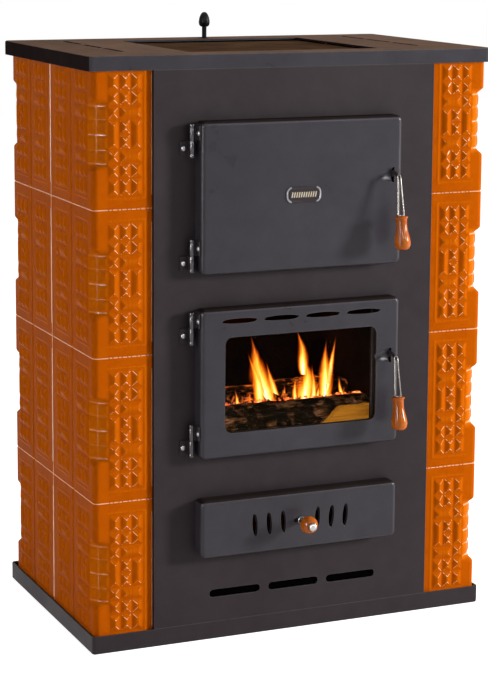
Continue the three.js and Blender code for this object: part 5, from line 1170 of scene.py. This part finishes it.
def revolved_with_tone(name, profile, sides, matrix):
    """A glazed turned piece, with a tone that is dark in the necks and light on the swells."""
    obj = lathe(name, profile, sides, matrix)
    attribute = obj.data.attributes.new("relief", "FLOAT", "POINT")
    inverse = matrix.inverted()
    radii = [Vector((inverse @ (v.co / MM))[:2]).length for v in obj.data.vertices]
    top = max(radii)
    attribute.data.foreach_set("value", [0.25 + 0.6 * (r / top) ** 2 for r in radii])
    return obj


def make_latches():
    for prefix, door_z in DOOR_LEVELS:
        make_latch(prefix, Vector((SLIT_X, -246.6, door_z + 23.5)))


def make_latch(prefix, pivot):
    """A lever in the slit of its door, with a wire that carries the grip."""
    side_view = [(-237.6, 4), (-248.6, 10), (-262.6, 10), (-270, 8.4), (-276, 5), (-279.6, 3.4), (-281, 1),
                 (-280.6, -2.2), (-279, -3.5), (-275, -2.2), (-268, 1.4), (-260.6, 3.5), (-248.6, -4),
                 (-237.6, -3)]
    count = len(side_view)
    vertices = [(x, y, pivot.z + z) for x in (SLIT_X - 1.6, SLIT_X + 1.6) for y, z in side_view]
    faces = [tuple(range(count)), tuple(range(2 * count - 1, count - 1, -1))]
    faces += [(i, i + count, (i + 1) % count + count, (i + 1) % count) for i in range(count)]
    blade = coated(bevelled(recalc(mesh_object("blade", vertices, faces)), 0.5, 2), BLACK)
    across = Matrix.Translation(pivot) @ Matrix.Rotation(math.pi / 2, 4, "Y")
    trunnion = lathe("trunnion", [(0, -4.6), (2.6, -4.6), (3, -4.2), (3, 4.2), (2.6, 4.6), (0, 4.6)], 20,
                     across)
    lean = Matrix.Translation((SLIT_X, -278.0, pivot.z)) @ Matrix.Rotation(-math.radians(8.5), 4, "X")
    paths = [[(side * a, b, c) for a, b, c in
              ((2.2, 0.6, 2.4), (2.6, 0, 0.4), (2.9, 0, -8), (3.6, 0, -24), (4.6, 0, -44), (5.4, 0, -60),
               (5.5, 0, -65))] for side in (-1, 1)]
    paths.append([(2.2 * math.cos(a), 0.6, 2.4 + 1.5 * math.sin(a)) for a in np.linspace(0, math.pi, 9)])
    wires = [tube("wire", [lean @ Vector(p) for p in path], 1.45, 12) for path in paths]
    washer = lathe("washer", [(0, -65.2), (6.6, -65.2), (7, -64.8), (7, -63.6), (6.4, -63.1), (0, -63.0)],
                   28, lean)
    latch = join_as(f"{prefix}_latch_lever",
                    [blade, coated(trunnion, CHROME)] + [coated(part, WIRE) for part in [washer] + wires])
    placed_on(latch, f"{prefix}_latch", "latch_steel", f"{prefix}_latch")
    profile = [(radius, -65.5 - drop) for radius, drop in GRIP_PROFILE]
    grip = revolved_with_tone(f"{prefix}_glazed_grip", profile, 48, lean)
    finish_piece(grip, f"{prefix}_latch", GRIP_GLAZE, "orange_glaze", f"{prefix}_grip")


def make_air_knob():
    frontwards = Matrix.Translation((0, -292, DRAWER_Z)) @ Matrix.Rotation(math.pi / 2, 4, "X")
    ball = [(3.3, -13.2)]
    for i in range(19):
        turn = math.radians(-61.6 + 123.2 * i / 18)
        ball.append((15 * math.cos(turn), 15 * math.sin(turn)))
    ball.append((3.3, 13.2))
    knob = revolved_with_tone("glazed_air_knob", ball, 56, frontwards)
    finish_piece(knob, "air_slide", GRIP_GLAZE, "orange_glaze", "air_knob")
    profiles = (("stem", 20, [(0, -37.8), (2.9, -37.8), (2.9, 15), (0, 15)]),
                ("ferrule", 36, [(0, -33.0), (5.6, -33.0), (6.1, -32.4), (6.2, -30.6), (5.4, -29.6),
                                 (5.2, -27), (6.2, -24), (6.9, -20.5), (7.3, -17), (7.2, -14.4),
                                 (6.4, -13.8), (0, -13.8)]),
                ("cap", 36, [(0, 13.5), (7.2, 13.5), (7.4, 14.1), (7.3, 15.4), (6.7, 17.2), (5.3, 18.6),
                             (3.0, 19.6), (0, 19.9)]))
    parts = [coated(lathe(name, profile, sides, frontwards), CAP) for name, sides, profile in profiles]
    # The CAD slide without its stem, which the turned pieces above take the place of.
    shutter = copied("air_slide", "shutter")
    with edited(shutter.data) as work:
        bmesh.ops.delete(work, geom=[v for v in work.verts if v.co.y < -0.2535], context="VERTS")
    slide = join_as("air_shutter", parts + [coated(shutter, DARK)])
    placed_on(slide, "air_slide", "bright_steel", "air_slide")


def make_damper():
    at = Matrix.Translation((0, 183, 0))
    profile = [(3.4, 1021.3), (5.4, 1021.3), (7.8, 1022.6), (9.5, 1025), (10.2, 1029), (9.9, 1033.5),
               (8.8, 1038.5), (7.0, 1043), (4.6, 1046.6), (2.2, 1048), (0, 1048.3)]
    finish_piece(lathe("damper_grip", profile, 40, at), "damper", KNOB_BLACK, "black_knob", "damper_knob")


# ------------------------------------------------------------------ lit fire behind the pane
def log_mesh(name, centre, length, radius, yaw, seed, material, flat=0.0):
    """A rough log along X, turned about Z by yaw degrees, with broken ends."""
    shape = random.Random(seed)
    waves = [(shape.uniform(2, 7), shape.uniform(0, 6.3), shape.uniform(0.3, 1.0)) for _ in range(9)]
    sides, stations = 40, 46
    turn = Matrix.Translation(centre) @ Matrix.Rotation(math.radians(yaw), 4, "Z")
    vertices = []
    for i in range(stations + 1):
        s = i / stations
        x = (s - 0.5) * length
        taper = 1.0 - 0.5 * max(0.0, (abs(s - 0.5) - 0.46) / 0.04)
        for k in range(sides):
            angle = 2 * math.pi * k / sides
            rough = sum(h * math.sin(f * angle + p + 9 * s * h) for f, p, h in waves) * 0.020
            rough += 0.035 * shape.uniform(-1, 1)
            r = radius * taper * (1 + rough)
            y, z = r * math.cos(angle), r * math.sin(angle)
            if flat and z > radius * flat:
                z = radius * flat + (z - radius * flat) * 0.15
            vertices.append(tuple(turn @ Vector((x, y, z))))
    obj = recalc(mesh_object(name, vertices, ring_faces(stations + 1, sides)))
    finish_piece(smooth_by_angle(obj, 60), "root", material, "fireclay")


def wedge_mesh(name, low, high, seed):
    """A split billet: a wedge with a flat face towards the door, between two corners."""
    shape = random.Random(seed)
    vertices = []
    stations = 24
    for i in range(stations + 1):
        s = i / stations
        x = low[0] + (high[0] - low[0]) * s
        grow = 0.45 + 0.55 * min(1.0, s / 0.35)
        jitter = shape.uniform(-0.8, 0.8)
        z_low, z_high = low[2], low[2] + (high[2] - low[2]) * grow + jitter
        y_front, y_back = low[1] + jitter * 0.4, high[1]
        vertices += [(x, y_front, z_low), (x, y_front - 1.5, (z_low + z_high) / 2), (x, y_front, z_high),
                     (x, y_back, z_high - 6), (x, y_back, z_low)]
    obj = recalc(mesh_object(name, vertices, ring_faces(stations + 1, 5)))
    finish_piece(bevelled(obj, 1.2, 2, 40), "root", WOOD, "fireclay")


def ember_bed():
    """A heap of coals on the grate, with a row of sparks on the front log."""
    shape = random.Random(31)
    vertices, faces = [], []

    def lump(size, rounds, place_of):
        """One coal: place_of moves each point of a ball."""
        work = bmesh.new()
        bmesh.ops.create_icosphere(work, subdivisions=rounds, radius=size)
        start = len(vertices)
        vertices.extend(tuple(place_of(v.co)) for v in work.verts)
        faces.extend(tuple(start + v.index for v in f.verts) for f in work.faces)
        work.free()

    for _ in range(150):
        x = shape.uniform(-150, 170)
        y = shape.uniform(-150, 60)
        size = shape.uniform(8, 15)
        z = 316 + size * 0.7 + max(0.0, 44 - abs(y + 95) * 0.5) * shape.uniform(0.5, 1.0)
        spin = Matrix.Rotation(shape.uniform(0, 6.3), 4, "Z") @ Matrix.Rotation(shape.uniform(0, 6.3), 4, "X")
        lump(size, 2, lambda p: spin @ (Vector((p.x * 1.25, p.y, p.z * 0.8)) * shape.uniform(0.86, 1.12))
             + Vector((x, y, z)))
    for _ in range(220):
        size = shape.uniform(1.0, 2.9)
        place = Vector((shape.uniform(-160, 172), shape.uniform(-140, -122), 380 + shape.uniform(0, 4.4)))
        lump(size, 1, lambda p: p * shape.uniform(0.8, 1.15) + place)
    finish_piece(mesh_object("ember_bed", vertices, faces), "root", EMBER, "fireclay")


def flame_tongue(vertices, faces, across, along, base, height, width, lean, seed, turn):
    """Adds one ribbon of a flame to the lists, with its place across and along it."""
    shape = random.Random(seed)
    sway = [(shape.uniform(3, 7), shape.uniform(0, 6.3), shape.uniform(0.2, 0.8)) for _ in range(3)]
    stations, sides = 26, 8
    start = len(vertices)
    for i in range(stations + 1):
        s = i / stations
        swing = sum(a * math.sin(f * s + p) for f, p, a in sway) * width * 0.16 * s
        x = base[0] + lean * s + swing
        half = width / 2 * (math.sin(math.pi * min(1.0, s * 0.82 + 0.16)) ** 0.8) * (1 - s ** 3) + 0.2
        for k in range(sides + 1):
            c = 2 * k / sides - 1
            vertices.append((x + half * c * math.cos(turn), base[1] + half * c * math.sin(turn),
                             base[2] + height * s))
            across.append(c)
            along.append(s)
    for i in range(stations):
        for k in range(sides):
            a = start + i * (sides + 1) + k
            faces.append((a, a + 1, a + sides + 2, a + sides + 1))


def make_flames():
    vertices, faces, across, along = [], [], [], []
    # Each tongue's foot, height, width, lean and seed.
    tongues = [((14, -98, 360), 138, 46, -46, 3), ((-6, -104, 360), 108, 26, -22, 4),
               ((32, -96, 360), 88, 18, -28, 13), ((80, -98, 360), 92, 40, 8, 5),
               ((98, -100, 360), 76, 16, -4, 15), ((76, -102, 418), 82, 25, -10, 6),
               ((64, -96, 360), 54, 13, -3, 16), ((122, -94, 360), 118, 31, 4, 7),
               ((126, -96, 384), 100, 13, 14, 14), ((-30, -92, 360), 32, 20, 0, 8),
               ((42, -98, 360), 42, 11, -3, 10), ((162, -90, 360), 48, 10, -14, 11),
               ((-46, -96, 360), 42, 9, -10, 12), ((106, -92, 360), 34, 11, 4, 17)]
    for base, height, width, lean, seed in tongues:
        for spread in (-0.42, 1.1):
            flame_tongue(vertices, faces, across, along, base, height, width, lean, seed, spread)
    obj = mesh_object("flames", vertices, faces)
    for name, values in (("across", across), ("along", along)):
        obj.data.attributes.new(name, "FLOAT", "POINT").data.foreach_set("value", values)
    finish_piece(obj, "root", FLAME, "fireclay")


def make_fire():
    log_mesh("front_log", (8, -152, 352), 360, 34, 2, 5, BARK)
    wedge_mesh("split_billet", (66, -196, 318), (186, -158, 378), 8)
    log_mesh("charred_log_left", (-60, -48, 366), 250, 44, -7, 12, CHAR, 0.5)
    log_mesh("charred_log_right", (104, -30, 364), 170, 42, 12, 17, CHAR, 0.6)
    ember_bed()
    make_flames()
    data = bpy.data.lights.new("firelight", "POINT")
    data.energy = 0.35
    data.color = (1.0, 0.30, 0.09)
    data.shadow_soft_size = 0.05
    light = bpy.data.objects.new("firelight", data)
    light.location = (0.03, 0.11, 0.51)
    light.visible_camera = False
    light.visible_transmission = False
    light.visible_glossy = False
    scene.collection.objects.link(light)


# ------------------------------------------------------------------ camera, floor and light
CAMERA_YAW = -23.49
CAMERA_PITCH = 8.79
CAMERA_ROLL = 0.35
CAMERA_PLACE = (-1.485, -3.424, 1.222)
CAMERA_LENS = 112.6
CAMERA_SHIFT_Y = -0.14


def make_camera():
    data = bpy.data.cameras.new("camera")
    data.sensor_width = 36.0
    data.sensor_fit = "AUTO"
    data.lens = CAMERA_LENS
    data.shift_y = CAMERA_SHIFT_Y
    data.dof.use_dof = False
    data.clip_start = 0.05
    data.clip_end = 50.0
    camera = bpy.data.objects.new("camera", data)
    base = Matrix(((1, 0, 0), (0, 0, -1), (0, 1, 0)))
    turn = (Matrix.Rotation(math.radians(CAMERA_ROLL), 3, "Z")
            @ Matrix.Rotation(math.radians(CAMERA_PITCH), 3, "X") @ base
            @ Matrix.Rotation(-math.radians(CAMERA_YAW), 3, "Z"))
    axes = Matrix((turn[0], -turn[1], -turn[2])).transposed()
    camera.matrix_world = Matrix.Translation(CAMERA_PLACE) @ axes.to_4x4()
    scene.collection.objects.link(camera)
    scene.camera = camera


def seen_directly(tree):
    """1 for rays from the camera, from a mirror or through glass, and 0 for the light on the object."""
    ray = tree.nodes.new("ShaderNodeLightPath")
    mirrored = math_node(tree, "MAXIMUM", ray.outputs["Is Glossy Ray"], ray.outputs["Is Transmission Ray"])
    return math_node(tree, "MAXIMUM", ray.outputs["Is Camera Ray"], mirrored)


def make_floor():
    material, tree, shader = new_material("pale floor")
    cloud = noise(tree, position(tree), 3.0, 3.0, 0.5)
    put(shader, Base_Color=ramp(tree, cloud, [(0.3, grey(0.86)), (0.7, grey(0.90))]), Roughness=0.7)
    put(shader, Specular_IOR_Level=0.2, Emission_Color=(1.0, 1.0, 1.0, 1.0))
    put(shader, Emission_Strength=math_node(tree, "MULTIPLY", seen_directly(tree), 0.86))
    size = 9000.0
    floor = mesh_object("floor", [(-size, -size, 0), (size, -size, 0), (size, size, 0), (-size, size, 0)],
                        [(0, 1, 2, 3)], smooth=False)
    floor.data.materials.append(material)


def make_world():
    world = bpy.data.worlds.new("world")
    scene.world = world
    scene.view_settings.view_transform = "Standard"
    world.use_nodes = True
    tree = world.node_tree
    background = tree.nodes["Background"]
    strength = math_node(tree, "ADD", math_node(tree, "MULTIPLY", seen_directly(tree), 0.87), 0.13)
    tree.links.new(strength, background.inputs["Strength"])
    put(background, Color=(1.0, 1.0, 1.0, 1.0))


def area_light(name, place, target, size, power):
    data = bpy.data.lights.new(name, "AREA")
    data.shape = "RECTANGLE"
    data.size, data.size_y = size
    data.energy = power
    light = bpy.data.objects.new(name, data)
    light.location = place
    aim = Vector(target) - Vector(place)
    light.rotation_euler = aim.to_track_quat("-Z", "Y").to_euler()
    scene.collection.objects.link(light)
    return light


def make_lights():
    """The key light, two fills, and narrow strips that show only in what shines."""
    area_light("key", (5.6, -3.1, 1.9), (0.0, -0.2, 0.6), (0.8, 1.3), 575)
    area_light("left fill", (-3.4, -1.0, 1.4), (-0.2, 0.0, 0.5), (0.24, 1.7), 31)
    area_light("top", (0.2, 0.4, 3.4), (0.0, 0.0, 0.5), (1.4, 1.0), 26)
    for name, place, size, power in (("left strip", (-2.6, -1.9, 1.2), (0.15, 1.6), 80),
                                     ("front strip", (-0.6, -2.6, 2.2), (0.06, 0.5), 20),
                                     ("right strip", (1.5, -3.0, 2.0), (0.06, 0.5), 20)):
        area_light(name, place, (0.0, -0.2, 0.6), size, power).visible_diffuse = False


# ------------------------------------------------------------------ casing and plain CAD nodes
NODE_PAINTS = (
    (DARK, ("back_panel", "flue_collar", "ash_pan")),
    (SOOT_AND_SHADE, ("left_tile_carrier", "right_tile_carrier", "firebox_body", "firebox_front", "firebox_top",
             "ash_shelf", "upper_door_liner", "glass_retainer", "damper_slide")),
    (CLAY, ("hearth_plate", "left_firebrick", "right_firebrick", "rear_firebrick", "smoke_baffle")),
    (IRON, ["grate"]))


def material_by_normal(data, material, wanted):
    """Gives one more material to the faces whose normal is wanted."""
    data.materials.append(material)
    for polygon in data.polygons:
        if wanted(polygon.normal):
            polygon.material_index = len(data.materials) - 1


def widen_top_slots():
    """Draws the two rows of slots wider than the CAD has them."""
    for vertex in bpy.data.objects["folded_top"].data.vertices:
        off = abs(vertex.co.x) - TOP_SLOT_X * MM
        if abs(off) < 0.004 and abs(vertex.co.y - 0.021) < 0.165:
            vertex.co.x = math.copysign(TOP_SLOT_X * MM + off * 2.2, vertex.co.x)


def make_casing():
    dressed("base_tray", "folded_tray", "root", BLACK, "black_steel", 0.8)
    dressed("front_panel", "steel_front", "root", BLACK, "black_steel", 0.5)
    dressed("top_plate", "folded_top", "root", TOP_BROWN_AND_SHEEN, "black_steel", 0.8)
    dressed("hotplate", "cooking_plate", "root", IRON, "cast_iron", 1.2)


def paint_nodes():
    """Materials of the CAD nodes that show as they are."""
    for material, names in NODE_PAINTS:
        for name in names:
            coated(nodes[name], material)
    # Painted shade: the front faces of this plate, which show only as the dark behind the air slots, get the
    # near-black material.
    material_by_normal(nodes["firebox_front"].data, SHADE, lambda normal: normal.y < -0.9)


# ------------------------------------------------------------------ making
make_camera()
make_floor()
make_world()
make_lights()
make_tiles()
make_doors()
make_badge()
make_hinges()
make_latches()
make_air_knob()
make_damper()
make_fire()
make_casing()
widen_top_slots()
# The faces of the top plate that don't face up get the door enamel, so only its top faces carry the painted
# sheen.
material_by_normal(bpy.data.objects["folded_top"].data, DOOR_BLACK, lambda normal: normal.z <= 0.5)
# Painted shade: the side faces of the top plate.
material_by_normal(bpy.data.objects["folded_top"].data, FLANK_PAINTED_SHADE,
                   lambda normal: normal.z <= 0.5 and abs(normal.x) > 0.6)
# Painted shade: the top faces of the door shells and of the drawer front.
for shell in ("upper_door_shell", "lower_door_shell", "drawer_face"):
    material_by_normal(bpy.data.objects[shell].data, FLANK_PAINTED_SHADE, lambda normal: normal.z > 0.6)
paint_nodes()
